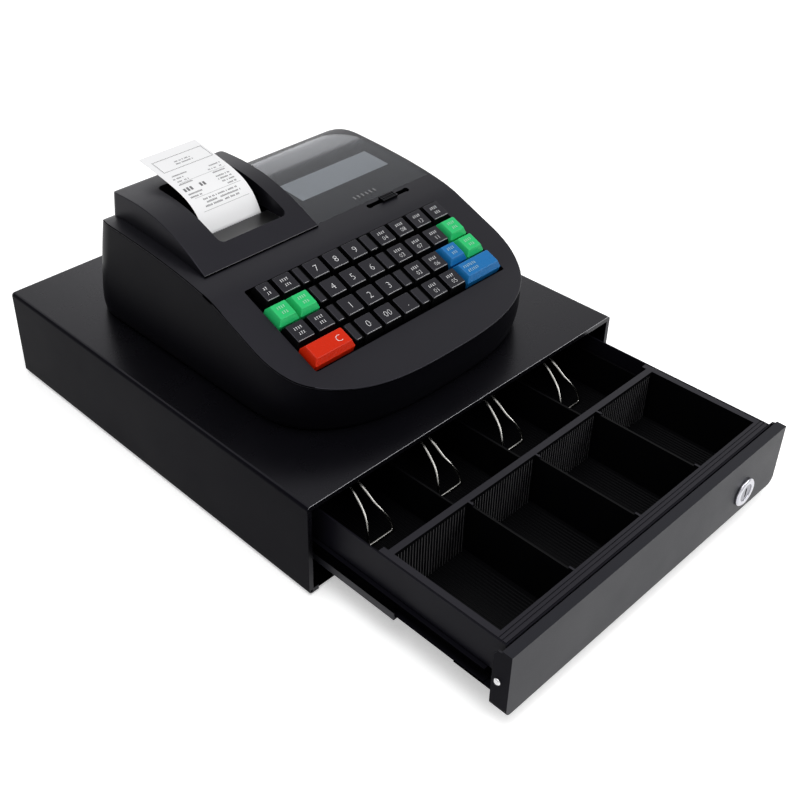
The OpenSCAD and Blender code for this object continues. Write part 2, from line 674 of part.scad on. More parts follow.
// one key: a tapered cap over a stem; tall caps are the coloured ones
module key_cap(c, r, cells, tall) {
    x = col_x(c) + (cells - 1) * key_pitch / 2;
    w = cap_w + (cells - 1) * key_pitch;
    t = tall ? 2.2 : 1.9;
    h = key_rise + (tall ? 1.6 : 0);
    bottom = frame_n + key_travel + 0.4;
    placed() on_keys() translate([x, row_v(r), 0]) {
        polyhedron(
            [for (q = [[0, bottom], [0, h - 4.6], [t, h]]) each
                [[-w / 2 + q[0], -cap_w / 2 + q[0] * 0.9, q[1]],
                 [w / 2 - q[0], -cap_w / 2 + q[0] * 0.9, q[1]],
                 [w / 2 - q[0], cap_w / 2 - q[0] * 0.6, q[1]],
                 [-w / 2 + q[0], cap_w / 2 - q[0] * 0.6, q[1]]]],
            concat([[0, 1, 2, 3]],
                [for (k = [0, 4], i = [0:3]) [k + i, k + 4 + i, k + 4 + (i + 1) % 4, k + (i + 1) % 4]],
                [[11, 10, 9, 8]]));
        span([-stem_w / 2, -stem_w / 2, board_n + 0.8 + key_travel + 0.1],
             [stem_w / 2, stem_w / 2, bottom + 1]);
    }
}

module key_feed() color(dark_key) key_cap(0, 0, 1, false);
module key_void() color(dark_key) key_cap(1, 0, 1, false);
module key_7() color(dark_key) key_cap(2, 0, 1, false);
module key_8() color(dark_key) key_cap(3, 0, 1, false);
module key_9() color(dark_key) key_cap(4, 0, 1, false);
module key_d4() color(dark_key) key_cap(5, 0, 1, false);
module key_d8() color(dark_key) key_cap(6, 0, 1, false);
module key_d12() color(dark_key) key_cap(7, 0, 1, false);
module key_rate() color(dark_key) key_cap(8, 0, 1, false);
module key_refund() color(green_key) key_cap(0, 1, 1, true);
module key_paid_out() color(green_key) key_cap(1, 1, 1, true);
module key_4() color(dark_key) key_cap(2, 1, 1, false);
module key_5() color(dark_key) key_cap(3, 1, 1, false);
module key_6() color(dark_key) key_cap(4, 1, 1, false);
module key_d3() color(dark_key) key_cap(5, 1, 1, false);
module key_d7() color(dark_key) key_cap(6, 1, 1, false);
module key_d11() color(dark_key) key_cap(7, 1, 1, false);
module key_charge() color(green_key) key_cap(8, 1, 1, true);
module key_clerk() color(dark_key) key_cap(0, 2, 1, false);
module key_times() color(dark_key) key_cap(1, 2, 1, false);
module key_1() color(dark_key) key_cap(2, 2, 1, false);
module key_2() color(dark_key) key_cap(3, 2, 1, false);
module key_3() color(dark_key) key_cap(4, 2, 1, false);
module key_d2() color(dark_key) key_cap(5, 2, 1, false);
module key_d6() color(dark_key) key_cap(6, 2, 1, false);
module key_subtotal() color(blue_key) key_cap(7, 2, 1, true);
module key_check() color(green_key) key_cap(8, 2, 1, true);
module key_clear() color(red_key) key_cap(0, 3, 2, true);
module key_0() color(dark_key) key_cap(2, 3, 1, false);
module key_00() color(dark_key) key_cap(3, 3, 1, false);
module key_point() color(dark_key) key_cap(4, 3, 1, false);
module key_d1() color(dark_key) key_cap(5, 3, 1, false);
module key_d5() color(dark_key) key_cap(6, 3, 1, false);
module key_total() color(blue_key) key_cap(7, 3, 2, true);

// ---- printer -----------------------------------------------------------

// side profile of the printer's cover, shrunk by d
module lid_profile(d) offset(delta = -d) polygon(concat(
    [for (y = lid_ys) [y, arch(y)]],
    [[lid_y + lid_d - 3, arch(lid_y + lid_d - 3) - 0.4],
     [lid_y + lid_d, arch(lid_y + lid_d) - 2],
     [lid_y + lid_d, top(lid_y + lid_d) + hair]],
    // the underside follows the top cover's face
    [for (i = [len(top_ys) - 1:-1:0]) let (y = top_ys[i])
        if (y > lid_y + 1 && y < lid_y + lid_d - 1) [y, top(y) + hair]],
    [[lid_y, top(lid_y) + hair]]));

// cross section of the printer's cover: the sides lean in a little
module lid_section(d) translate([0, lid_y + lid_d + 5, 0]) rotate([90, 0, 0])
    linear_extrude(lid_d + 10) polygon([
        [lid_left + d, lid_z - 10], [lid_right - d, lid_z - 10],
        [lid_right - d, lid_z + 1], [lid_right - 2.6 - d, lid_z + lid_h + 2],
        [lid_left + 2.6 + d, lid_z + lid_h + 2], [lid_left + d, lid_z + 1]]);

// a rectangle with round corners, seen from above
module soft_rect(a, b, r) translate([0, 0, body_z]) linear_extrude(lid_z + lid_h) hull()
    for (x = [a[0] + r, b[0] - r], y = [a[1] + r, b[1] - r]) translate([x, y]) circle(r);

module printer_cover() color(black_plastic) placed() difference() {
    union() {
        difference() {
            intersection() {
                side_slab(lid_left, lid_right) lid_profile(0);
                lid_section(0);
                // round vertical corners at the back
                soft_rect([lid_left, lid_y - 20], [lid_right, lid_y + lid_d], 3.5);
            }
            intersection() {
                side_slab(lid_left, lid_right) lid_inner();
                lid_section(wall);
            }
        }
        hinge_eyes();
        // walls of the paper well, open below the window
        intersection() {
            side_slab(lid_left, lid_right) lid_profile(0);
            difference() {
                soft_rect([mouth_l - well_t, mouth_y - well_t],
                          [mouth_r + well_t, mouth_back + well_t], 5 + well_t);
                span([mouth_l - 3, tear_y + 10, lid_z - 10], [mouth_r + 3, mouth_back + 5, lid_z + 14]);
            }
        }
        // ledge that carries the tear-off window
        for (x = [mouth_l - 0.5, mouth_r - 3])
            span([x, mouth_y - 0.5, window_z - 4], [x + 3.5, tear_y - 3, window_z - 1.6]);
        span([mouth_l + 2, mouth_y - 0.5, window_z - 4], [mouth_r - 2, mouth_y + 4, window_z - 1.6]);
    }
    // paper opening
    soft_rect_above();
}

// the mouth: full depth behind the window's ledge, and shallow over it
module soft_rect_above() {
    intersection() {
        soft_rect([mouth_l, mouth_y], [mouth_r, mouth_back], 5);
        union() {
            span([mouth_l - 1, mouth_y - 1, window_z - 1.6], [mouth_r + 1, mouth_back + 1, lid_z + 50]);
            span([mouth_l - 1, tear_y - 3, lid_z - 20], [mouth_r + 1, mouth_back + 1, lid_z + 50]);
        }
    }
}

// hollow of the printer's cover, open below
module lid_inner() polygon(concat(
    [for (y = lid_ys) if (y > lid_y + 14) [y, arch(y) - wall]],
    [[lid_y + lid_d - wall, arch(lid_y + lid_d) - 6],
     [lid_y + lid_d - wall, lid_z - 20], [lid_y + 15, lid_z - 20]]));

// eyes on the printer's cover
module hinge_eyes() for (x = eye_x) difference() {
    union() {
        translate([x, hinge_y, hinge_z]) rotate([0, 90, 0]) cylinder(r = hinge_r, h = eye_w);
        span([x, lid_y + lid_d - 1, hinge_z - hinge_r], [x + eye_w, hinge_y, hinge_z + hinge_r]);
    }
    translate([x - 1, hinge_y, hinge_z]) rotate([0, 90, 0]) cylinder(r = pin_r + 0.05, h = eye_w + 2);
}

// posts and pins on the top cover
module hinge_posts() for (x = eye_x) {
    for (px = [x - hair - 3, x + eye_w + hair]) {
        translate([px, hinge_y, hinge_z]) rotate([0, 90, 0]) cylinder(r = hinge_r, h = 3);
        span([px, hinge_y - hinge_r, top(hinge_y + hinge_r) - 2.6], [px + 3, hinge_y + hinge_r, hinge_z]);
    }
    translate([x - 1, hinge_y, hinge_z]) rotate([0, 90, 0]) cylinder(r = pin_r, h = eye_w + 2);
}

module tear_window() color([0.5, 0.5, 0.52]) placed() difference() {
    intersection() {
        soft_rect([mouth_l + 0.05, mouth_y + 0.05], [mouth_r - 0.05, mouth_back], 5);
        span([mouth_l, mouth_y, window_z - 1.6], [mouth_r, tear_y, window_z]);
    }
    // fine teeth along the tear edge
    for (x = [mouth_l + 2:tooth:mouth_r - 2]) translate([x, tear_y - tooth / 4, window_z - 3])
        rotate([0, 0, 45]) cube([tooth / 2, tooth / 2, 6]);
}

module printer_frame() color([0.2, 0.2, 0.21]) placed() {
    fz = body_z + wall;
    fl = paper_x - paper_w / 2 - 0.6;
    fr = paper_x + paper_w / 2 + 0.6;
    // side plates on a base that stands on the body's floor
    for (x = [fl - 2, fr]) span([x, tear_y - 14, fz], [x + 2, roll_y + 8, lid_z - 1]);
    span([fl - 2, tear_y - 14, fz], [fr + 2, roll_y + 8, fz + 2]);
    // print head block below the tear edge
    span([fl - 2, tear_y - 14, lid_z - 22], [fr + 2, tear_y - 3, lid_z - 1]);
    // a stub on each side plate carries the roll
    for (x = [fl - eps, fr - 6.5])
        translate([x, roll_y, roll_z]) rotate([0, 90, 0]) cylinder(d = spindle_d, h = 6.5 + eps);
}

module paper_roll() color([0.93, 0.93, 0.92]) placed() translate([paper_x - paper_w / 2, roll_y, roll_z])
    rotate([0, 90, 0]) difference() {
        cylinder(d = roll_d, h = paper_w);
        translate([0, 0, -1]) cylinder(d = spindle_d + 0.1, h = paper_w + 2);
    }

// the printed strip: up past the tear edge, then curling back
function strip(t) = [tear_y + hair + t, window_z + 22.2 * (1 - exp(-t / 10.5)) + t * 0.16];
module receipt() color([0.95, 0.95, 0.94]) placed()
    side_slab(paper_x - paper_w / 2, paper_x + paper_w / 2) polygon(concat(
        [[tear_y + hair, window_z - 6]],
        [for (t = [0:2:10]) strip(t)], [for (t = [14:5:strip_len]) strip(t)],
        [for (t = [strip_len:-5:14]) strip(t) + [strip_t / 3, -strip_t]],
        [for (t = [10:-2:0]) strip(t) + [strip_t, -strip_t / 2]],
        [[tear_y + hair + strip_t, window_z - 6]]));

// ---- drawing list ------------------------------------------------------

cabinet();
cabinet_floor();
feet();
slide_links();
drawer_pan();
drawer_front();
panel_rivets();
lock_body();
lock_barrel();
till_tray();
note_clip_1();
note_clip_2();
note_clip_3();
note_clip_4();
housing();
top_cover();
key_frame();
circuit_board();
printer_cover();
tear_window();
printer_frame();
paper_roll();
receipt();
display_lens();
display_module();
mode_knob();
key_feed();
key_void();
key_7();
key_8();
key_9();
key_d4();
key_d8();
key_d12();
key_rate();
key_refund();
key_paid_out();
key_4();
key_5();
key_6();
key_d3();
key_d7();
key_d11();
key_charge();
key_clerk();
key_times();
key_1();
key_2();
key_3();
key_d2();
key_d6();
key_subtotal();
key_check();
key_clear();
key_0();
key_00();
key_point();
key_d1();
key_d5();
key_total();
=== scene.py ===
"""Looks of an electronic till that stands on a steel cash drawer cabinet.

Every piece is drawn in millimetres with y measured back from the cabinet's front edge, as the
solids are, and settle() moves it into the part's frame in metres.
"""

from __future__ import annotations

import json
import logging
import math
import random
from collections.abc import Callable, Iterable, Sequence
from dataclasses import dataclass
from enum import Enum
from typing import ClassVar

import bmesh
import bpy
from mathutils import Matrix, Vector

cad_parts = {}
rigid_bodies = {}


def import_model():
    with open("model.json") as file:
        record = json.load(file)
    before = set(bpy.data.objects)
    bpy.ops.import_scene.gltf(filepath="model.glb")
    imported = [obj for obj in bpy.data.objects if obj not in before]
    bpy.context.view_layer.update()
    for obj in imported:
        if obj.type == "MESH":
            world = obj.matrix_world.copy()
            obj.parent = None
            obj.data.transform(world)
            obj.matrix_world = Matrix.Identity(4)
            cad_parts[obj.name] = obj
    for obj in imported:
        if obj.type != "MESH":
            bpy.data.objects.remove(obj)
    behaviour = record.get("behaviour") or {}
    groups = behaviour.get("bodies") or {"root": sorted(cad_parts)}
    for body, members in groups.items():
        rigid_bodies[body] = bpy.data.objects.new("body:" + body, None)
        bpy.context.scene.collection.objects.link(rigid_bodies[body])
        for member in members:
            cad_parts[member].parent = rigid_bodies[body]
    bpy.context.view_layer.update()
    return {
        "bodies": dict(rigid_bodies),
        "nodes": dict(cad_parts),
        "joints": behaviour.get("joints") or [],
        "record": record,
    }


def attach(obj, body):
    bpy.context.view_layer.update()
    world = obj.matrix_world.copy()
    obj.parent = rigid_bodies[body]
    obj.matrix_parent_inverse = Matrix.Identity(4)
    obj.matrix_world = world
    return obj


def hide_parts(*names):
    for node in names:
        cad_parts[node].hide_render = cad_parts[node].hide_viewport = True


LOG = logging.getLogger("till")
MM = 0.001
FRONT_EDGE = -99.05  # the cabinet's front edge along the part's y axis, in millimetres
BEVEL = {"affect": "EDGES", "profile": 0.5, "material": -1, "clamp_overlap": True}
CREASE = 0.7  # faces that differ by more than this many radians meet in a crease
Pair = tuple[float, float]
Point = tuple[float, float, float]
Quad = tuple[float, float, float, float]
Outline = Sequence[Pair]
Mesh = bmesh.types.BMesh
Vert = bmesh.types.BMVert
Edge = bmesh.types.BMEdge
Face = bmesh.types.BMFace


class Body(Enum):
    """The rigid bodies that pieces ride on."""

    BASE = "base"
    SLIDES = "slides"
    DRAWER = "drawer"
    LOCK_PLUG = "lock_plug"
    LID = "lid"
    ROLL = "roll"
    KNOB = "knob"


class Slot(Enum):
    """The record's material slots."""

    CABINET = "cabinet_paint"
    PANEL = "panel_paint"
    SLIDE = "slide_paint"
    FOOT = "foot_rubber"
    BRIGHT = "bright_steel"
    CHROME = "lock_chrome"
    TRAY = "tray_plastic"
    BODY = "body_plastic"
    KEY_BLACK = "key_black"
    KEY_GREEN = "key_green"
    KEY_BLUE = "key_blue"
    KEY_RED = "key_red"
    BOARD = "board_green"
    LENS = "lens_smoke"
    WINDOW = "window_smoke"
    DISPLAY = "display_grey"
    PAPER = "paper_white"


# ---- finishes ----


def set_inputs(node: bpy.types.Node, **values: object) -> None:
    """Sets a node's input sockets by name, with spaces in the names written as underscores."""
    for name, value in values.items():
        node.inputs[name.replace("_", " ")].default_value = value


def add_node(tree: bpy.types.NodeTree, kind: str, **values: object) -> bpy.types.Node:
    """Adds a shader node and sets its input sockets by name.

    Args:
        tree: The node tree that takes the node.
        kind: The node's type name.
        **values: Socket values, as set_inputs() takes them.

    Returns:
        The new node.
    """
    node = tree.nodes.new(kind)
    set_inputs(node, **values)
    return node


def new_group(name: str, inputs: dict[str, float], outputs: dict[str, str]) -> bpy.types.NodeTree:
    """Starts a shader node group.

    Args:
        name: The group's name.
        inputs: Float input sockets and their defaults.
        outputs: Output socket names and their socket types.

    Returns:
        The group, with its input and output nodes in place.
    """
    group = bpy.data.node_groups.new(name, "ShaderNodeTree")
    for key, value in inputs.items():
        socket = group.interface.new_socket(key, in_out="INPUT", socket_type="NodeSocketFloat")
        socket.default_value = value
    for key, kind in outputs.items():
        group.interface.new_socket(key, in_out="OUTPUT", socket_type=kind)
    group.nodes.new("NodeGroupInput").name = "in"
    group.nodes.new("NodeGroupOutput").name = "out"
    return group


def grain_group() -> bpy.types.NodeTree:
    """Builds the fine surface grain: a bumped normal, and a mask of faint wiping marks.

    Returns:
        The node group with inputs Scale, Depth and Stretch.
    """
    group = new_group(
        "surface_grain",
        {"Scale": 900.0, "Depth": 0.1, "Stretch": 1.0},
        {"Normal": "NodeSocketVector", "Wipe": "NodeSocketFloat"},
    )
    link = group.links.new
    source, sink = group.nodes["in"], group.nodes["out"]
    place = add_node(group, "ShaderNodeTexCoord")
    stretch = add_node(group, "ShaderNodeCombineXYZ", Y=1.0, Z=1.0)
    scaled = add_node(group, "ShaderNodeVectorMath")
    scaled.operation = "MULTIPLY"
    link(source.outputs["Stretch"], stretch.inputs["X"])
    link(place.outputs["Object"], scaled.inputs[0])
    link(stretch.outputs["Vector"], scaled.inputs[1])
    fine = add_node(group, "ShaderNodeTexNoise", Detail=2.0, Roughness=0.6)
    link(scaled.outputs["Vector"], fine.inputs["Vector"])
    link(source.outputs["Scale"], fine.inputs["Scale"])
    bump = add_node(group, "ShaderNodeBump", Distance=0.0003)
    link(source.outputs["Depth"], bump.inputs["Strength"])
    link(fine.outputs["Fac"], bump.inputs["Height"])
    link(bump.outputs["Normal"], sink.inputs["Normal"])
    broad = add_node(group, "ShaderNodeTexNoise", Scale=14.0, Detail=5.0, Roughness=0.65)
    link(place.outputs["Object"], broad.inputs["Vector"])
    level = add_node(
        group, "ShaderNodeMapRange", From_Min=0.3, From_Max=0.7, To_Min=0.0, To_Max=1.0
    )
    link(broad.outputs["Fac"], level.inputs["Value"])
    link(level.outputs["Result"], sink.inputs["Wipe"])
    return group


@dataclass(frozen=True)
class Finish:
    """A surface finish, made into a material on first use.

    Attributes:
        name: The material's name.
        color: Base colour, linear.
        roughness: Mean roughness.
        metallic: 1 for bare metal.
        specular: Specular level, where 0.5 is a common plastic.
        grain: Scale of the fine grain, in cycles a metre.
        depth: Strength of the grain's bump.
        stretch: Below 1 the grain is drawn out along x, as brushing does.
        wipe: How much the wiping marks change colour and roughness.
        glass: 1 for a clear or tinted see-through finish.
        tint: Colour of the reflections.
        ior: Index of refraction.
    """

    name: str
    color: Point
    roughness: float = 0.4
    metallic: float = 0.0
    specular: float = 0.5
    grain: float = 900.0
    depth: float = 0.12
    stretch: float = 1.0
    wipe: float = 0.1
    glass: float = 0.0
    tint: Point = (1.0, 1.0, 1.0)
    ior: float = 1.5

    def material(self) -> bpy.types.Material:
        """Gives the finish's material, building it the first time."""
        return bpy.data.materials.get(self.name + "_finish") or self._build()

    def _build(self) -> bpy.types.Material:
        """Builds the node material.

        Returns:
            The new material.
        """
        material = bpy.data.materials.new(self.name + "_finish")
        material.use_nodes = True
        material.diffuse_color = (*self.color, 1.0)
        tree = material.node_tree
        shader = tree.nodes["Principled BSDF"]
        set_inputs(
            shader, Base_Color=(*self.color, 1.0), Metallic=self.metallic,
            Specular_IOR_Level=self.specular, Specular_Tint=(*self.tint, 1.0), IOR=self.ior,
            Transmission_Weight=self.glass, Roughness=self.roughness,
        )
        grain = tree.nodes.new("ShaderNodeGroup")
        grain.node_tree = bpy.data.node_groups.get("surface_grain") or grain_group()
        set_inputs(grain, Scale=self.grain, Depth=self.depth, Stretch=self.stretch)
        tree.links.new(grain.outputs["Normal"], shader.inputs["Normal"])
        rough = add_node(
            tree,
            "ShaderNodeMapRange",
            To_Min=self.roughness * (1 - self.wipe),
            To_Max=min(1.0, self.roughness * (1 + self.wipe)),
        )
        tree.links.new(grain.outputs["Wipe"], rough.inputs["Value"])
        tree.links.new(rough.outputs["Result"], shader.inputs["Roughness"])
        if not self.glass:
            tint = tree.nodes.new("ShaderNodeMix")
            tint.data_type = "RGBA"
            low, high = (
                tuple(min(1.0, c * (1 + sign * self.wipe * 0.5)) for c in self.color)
                for sign in (-1, 1)
            )
            tint.inputs["A"].default_value = (*low, 1.0)
            tint.inputs["B"].default_value = (*high, 1.0)
            tree.links.new(grain.outputs["Wipe"], tint.inputs["Factor"])
            tree.links.new(tint.outputs["Result"], shader.inputs["Base Color"])
        return material


COOL = (0.86, 0.84, 1.0)  # tint of the reflections in the black finishes
CABINET_PAINT = Finish(
    "cabinet_paint", (0.0022, 0.0021, 0.003), 0.27, specular=0.19,
    grain=1500, depth=0.08, tint=COOL,
)
# A duller copy of the cabinet paint for its sides: painted shade.
CABINET_SIDE_PAINTED_SHADE = Finish(
    "cabinet_side_painted_shade", (0.0028, 0.0026, 0.0042), 0.42, specular=0.02,
    grain=1500, depth=0.08, tint=COOL,
)
# A light grey for the top's front fold: a painted highlight.
FOLD_PAINTED_HIGHLIGHT = Finish("fold_painted_highlight", (0.3, 0.3, 0.32), 0.25, specular=0.8, grain=1500, depth=0.05)
PANEL_PAINT = Finish(
    "panel_paint", (0.0105, 0.0108, 0.0132), 0.4, specular=0.15, grain=1500, depth=0.1, tint=COOL
)
# A darker, duller copy of the panel paint for the panel's side returns: painted shade.
PANEL_RETURN_PAINTED_SHADE = Finish("panel_return_painted_shade", (0.005, 0.0048, 0.0072), 0.45, specular=0.02, grain=1500)
PAN_PAINT = Finish(
    "pan_paint", (0.0042, 0.004, 0.0062), 0.42, specular=0.05, grain=1200, depth=0.08, tint=COOL
)
# Near-black and without reflection: dark slide steel, with the shade of the slides' recess painted
# in.
SLIDE_STEEL_AND_PAINTED_SHADE = Finish("slide_paint", (0.0007, 0.0007, 0.0009), 0.8, specular=0.0, grain=1200)
FOOT_RUBBER = Finish("foot_rubber", (0.006, 0.006, 0.006), 0.75, specular=0.2, grain=700)
BRIGHT_STEEL = Finish(
    "bright_steel", (0.6, 0.6, 0.61), 0.24, metallic=1, grain=1400, depth=0.05, stretch=0.2
)
# Steel darkened well below bright steel, for the dark surroundings the wire reflects: painted
# shade in its reflections.
CLIP_WIRE_PAINTED_SHADE = Finish("clip_wire", (0.3, 0.295, 0.28), 0.2, metallic=1, specular=1.0, depth=0.03)
LOCK_CHROME = Finish("lock_chrome", (0.5, 0.5, 0.54), 0.16, metallic=1, depth=0.03)
LOCK_FACE = Finish("lock_face", (0.22, 0.22, 0.25), 0.25, metallic=1, depth=0.06)
TRAY_PLASTIC = Finish(
    "tray_plastic", (0.0014, 0.0014, 0.0018), 0.42, specular=0.06, grain=1100, depth=0.1
)
# A lighter, glossier copy of the tray plastic for the rim's top: painted light.
TRAY_RIM_PAINTED_LIGHT = Finish(
    "tray_rim_painted_light", (0.0055, 0.0052, 0.0072), 0.36, specular=0.22, grain=1100, depth=0.1, tint=COOL
)
# A light grey for the crests of the tray's wall ribs: a painted highlight.
TRAY_RIB_PAINTED_HIGHLIGHT = Finish("tray_rib_painted_highlight", (0.16, 0.16, 0.165), 0.35, specular=0.5, grain=1100, depth=0.1)
BODY_PLASTIC = Finish(
    "body_plastic", (0.0022, 0.0021, 0.0032), 0.37, specular=0.23,
    grain=1300, depth=0.14, tint=COOL,
)
# A duller copy of the body plastic for the housing and the sides below the rim: painted shade.
BODY_SIDE_PAINTED_SHADE = Finish(
    "body_side_painted_shade", (0.0026, 0.0025, 0.0036), 0.36, specular=0.03, grain=1300, depth=0.14, tint=COOL
)
# A copy of the body plastic with a lighter base and weaker reflection for the printer cover's
# flanks and undersides: painted light and shade.
BODY_FLANK_PAINTED_SHADING = Finish(
    "body_flank_painted_shading", (0.0042, 0.004, 0.0056), 0.36, specular=0.12, grain=1300, depth=0.14, tint=COOL
)
# Near-black with no reflection: painted shade for gaps, grooves, hollows and faces that lie in
# shadow.
PAINTED_SHADE = Finish("painted_shade", (0.0006, 0.0006, 0.0007), 0.8, specular=0.0)
KEY_BLACK = Finish(
    "key_black", (0.0036, 0.0035, 0.0046), 0.24, specular=0.3, grain=1500, depth=0.05, tint=COOL
)
# Near-black, almost without reflection: a painted-shade copy of the key plastic for the keys'
# sides, the key frame, the knob's grooves and the lock's keyway.
KEY_SIDE_PAINTED_SHADE = Finish("key_side_painted_shade", (0.001, 0.001, 0.0012), 0.4, specular=0.04, grain=1500, depth=0.05)
# A light, glossy grey for the keys' front bevels: a painted highlight.
KEY_EDGE_PAINTED_HIGHLIGHT = Finish("key_edge_painted_highlight", (0.13, 0.13, 0.14), 0.25, specular=0.8, grain=1500, depth=0.05)
# A grey, glossy finish for the printer cover's front lip: a painted highlight.
LIP_PAINTED_HIGHLIGHT = Finish("lip_painted_highlight", (0.035, 0.035, 0.04), 0.3, specular=0.4, grain=1500, depth=0.05)
KEY_GREEN = Finish("key_green", (0.02, 0.47, 0.14), 0.28, specular=0.16, grain=1500, depth=0.05)
KEY_BLUE = Finish("key_blue", (0.008, 0.135, 0.37), 0.28, specular=0.16, grain=1500, depth=0.05)
KEY_RED = Finish("key_red", (0.55, 0.018, 0.002), 0.28, specular=0.12, grain=1500, depth=0.05)
WHITE_INK = Finish("white_ink", (0.72, 0.72, 0.73), 0.5, depth=0.02)
PALE_INK = Finish("pale_ink", (0.38, 0.5, 0.46), 0.5, depth=0.02)
GREY_INK = Finish("grey_ink", (0.13, 0.13, 0.135), 0.7, depth=0.02)
DARK_INK = Finish("dark_ink", (0.04, 0.04, 0.045), 0.7, depth=0.02)
TICK_INK = Finish("tick_ink", (0.12, 0.12, 0.125), 0.6, depth=0.02)
BOARD_GREEN = Finish("board_green", (0.02, 0.12, 0.05), 0.5, depth=0.05)
LENS_SMOKE = Finish(
    "lens_smoke", (0.44, 0.45, 0.49), 0.05, specular=0.08, depth=0.0, wipe=0.0, glass=1,
    tint=(0.86, 0.9, 1.0), ior=1.36,
)
WINDOW_SMOKE = Finish(
    "window_smoke", (0.07, 0.07, 0.08), 0.3, specular=0.22, depth=0.0, wipe=0.1, glass=1
)
DISPLAY_GREY = Finish("display_grey", (0.74, 0.78, 0.73), 0.35, depth=0.02, wipe=0.04)
PAPER_WHITE = Finish(
    "paper_white", (0.79, 0.79, 0.8), 0.6, specular=0.3, depth=0.06, wipe=0.02
)


# ---- mesh helpers ----


def add_object(name: str, data: bpy.types.ID) -> bpy.types.Object:
    """Puts a new object for a mesh, curve, light or camera in the scene.

    Args:
        name: The object's name.
        data: What it shows.

    Returns:
        The object.
    """
    obj = bpy.data.objects.new(name, data)
    bpy.context.scene.collection.objects.link(obj)
    return obj


def unit(angle: float) -> Pair:
    """Cosine and sine of an angle in degrees."""
    return (math.cos(math.radians(angle)), math.sin(math.radians(angle)))


QUARTER = tuple(unit(a) for a in (22.5, 45, 67.5, 90))


def sharp(edge: Edge) -> bool:
    """Says whether an edge is a crease."""
    return edge.calc_face_angle(0) > CREASE


def paint(mesh: Mesh, choose: Callable[[Face], int]) -> None:
    """Gives every face the material index that a function chooses for it."""
    for face in mesh.faces:
        face.material_index = choose(face)


def settle(mesh: Mesh, node: str, body: Body | str, slot: Slot, finishes: Sequence[Finish],
           form: str = "piece", angle: float = 32.0) -> None:
    """Turns a mesh drawn in millimetres into the piece that stands for a solid.

    Args:
        mesh: The mesh; it is freed.
        node: The solid's name.
        body: The body that the piece rides on.
        slot: The record's material slot; not used.
        finishes: The finishes, in the order of the faces' material indices.
        form: What the piece's name adds to the solid's.
        angle: Edges sharper than this many degrees shade as creases.
    """
    mesh.transform(Matrix.Scale(MM, 4) @ Matrix.Translation((0, FRONT_EDGE, 0)))
    name = f"{node}_{form}"
    data = bpy.data.meshes.new(name)
    mesh.to_mesh(data)
    mesh.free()
    for finish in finishes:
        data.materials.append(finish.material())
    shade(data, angle)
    piece = add_object(name, data)
    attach(piece, body.value if isinstance(body, Body) else body)
    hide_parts(node)
    LOG.info("%s: %d faces", name, len(data.polygons))


def shade(data: bpy.types.Mesh, angle: float) -> None:
    """Shades broad faces flat and roundings smooth, by corner normals weighted by area.

    Args:
        data: The mesh.
        angle: Faces that differ by more than this many degrees don't share a normal.
    """
    data.shade_smooth()
    limit = math.cos(math.radians(angle))
    faces = [[] for _ in data.vertices]
    for face in data.polygons:
        for vertex in face.vertices:
            faces[vertex].append(face.index)
    normals = [face.normal.copy() for face in data.polygons]
    areas = [face.area for face in data.polygons]
    corners = [Vector((0, 0, 1))] * len(data.loops)
    for face in data.polygons:
        own = normals[face.index]
        for corner, vertex in zip(face.loop_indices, face.vertices):
            total = Vector()
            for other in faces[vertex]:
                if own.dot(normals[other]) > limit:
                    total += normals[other] * areas[other]
            corners[corner] = total.normalized() if total.length > 0 else own
    data.normals_split_custom_set(corners)


def box(mesh: Mesh, low: Point, high: Point, edge: float = 0.0, segments: int = 2) -> None:
    """Adds a box between two corners.

    Args:
        mesh: The mesh that takes it.
        low: The lowest corner.
        high: The highest corner.
        edge: Rounding of all its edges.
        segments: Faces across each rounding.
    """
    a, b = Vector(low), Vector(high)
    place = Matrix.Translation((a + b) / 2) @ Matrix.Diagonal((*(b - a), 1.0))
    made = bmesh.ops.create_cube(mesh, size=1.0, matrix=place)["verts"]
    if edge > 0:
        edges = list({e for v in made for e in v.link_edges})
        bmesh.ops.bevel(mesh, geom=edges, offset=edge, segments=segments, **BEVEL)


def rod(mesh: Mesh, start: Point, end: Point, radius: float, sides: int = 32) -> None:
    """Adds a round rod between two points.

    Args:
        mesh: The mesh that takes it.
        start: The centre of its first end.
        end: The centre of its last end.
        radius: Its radius.
        sides: Faces round it.
    """
    a, b = Vector(start), Vector(end)
    turn = (b - a).to_track_quat("Z", "Y").to_matrix().to_4x4()
    bmesh.ops.create_cone(
        mesh, cap_ends=True, segments=sides, radius1=radius, radius2=radius,
        depth=(b - a).length, matrix=Matrix.Translation((a + b) / 2) @ turn,
    )


def slab(mesh: Mesh, outline: Outline, place: Callable[[float, float, float], Point],
         near: float, far: float, edge: float = 0.0, segments: int = 2) -> None:
    """Adds a flat outline drawn out between two levels.

    Args:
        mesh: The mesh that takes it.
        outline: The outline's points.
        place: Gives the point in space of an outline point and a level.
        near: The first level.
        far: The last level.
        edge: Rounding of its edges.
        segments: Faces across each rounding.
    """
    first = [mesh.verts.new(place(u, v, near)) for u, v in outline]
    face = mesh.faces.new(first)
    drawn = bmesh.ops.extrude_face_region(mesh, geom=[face])["geom"]
    last = [v for v in drawn if isinstance(v, Vert)]
    shift = Vector(place(0, 0, far)) - Vector(place(0, 0, near))
    bmesh.ops.translate(mesh, verts=last, vec=shift)
    faces = list({f for v in first + last for f in v.link_faces})
    bmesh.ops.recalc_face_normals(mesh, faces=faces)
    if edge > 0:
        edges = list({e for f in faces for e in f.edges if e.calc_face_angle(0) > 0.5})
        bmesh.ops.bevel(mesh, geom=edges, offset=edge, segments=segments, **BEVEL)


def top_view(u: float, v: float, level: float) -> Point:
    """Places a plan outline (x, y) at a height."""
    return (u, v, level)


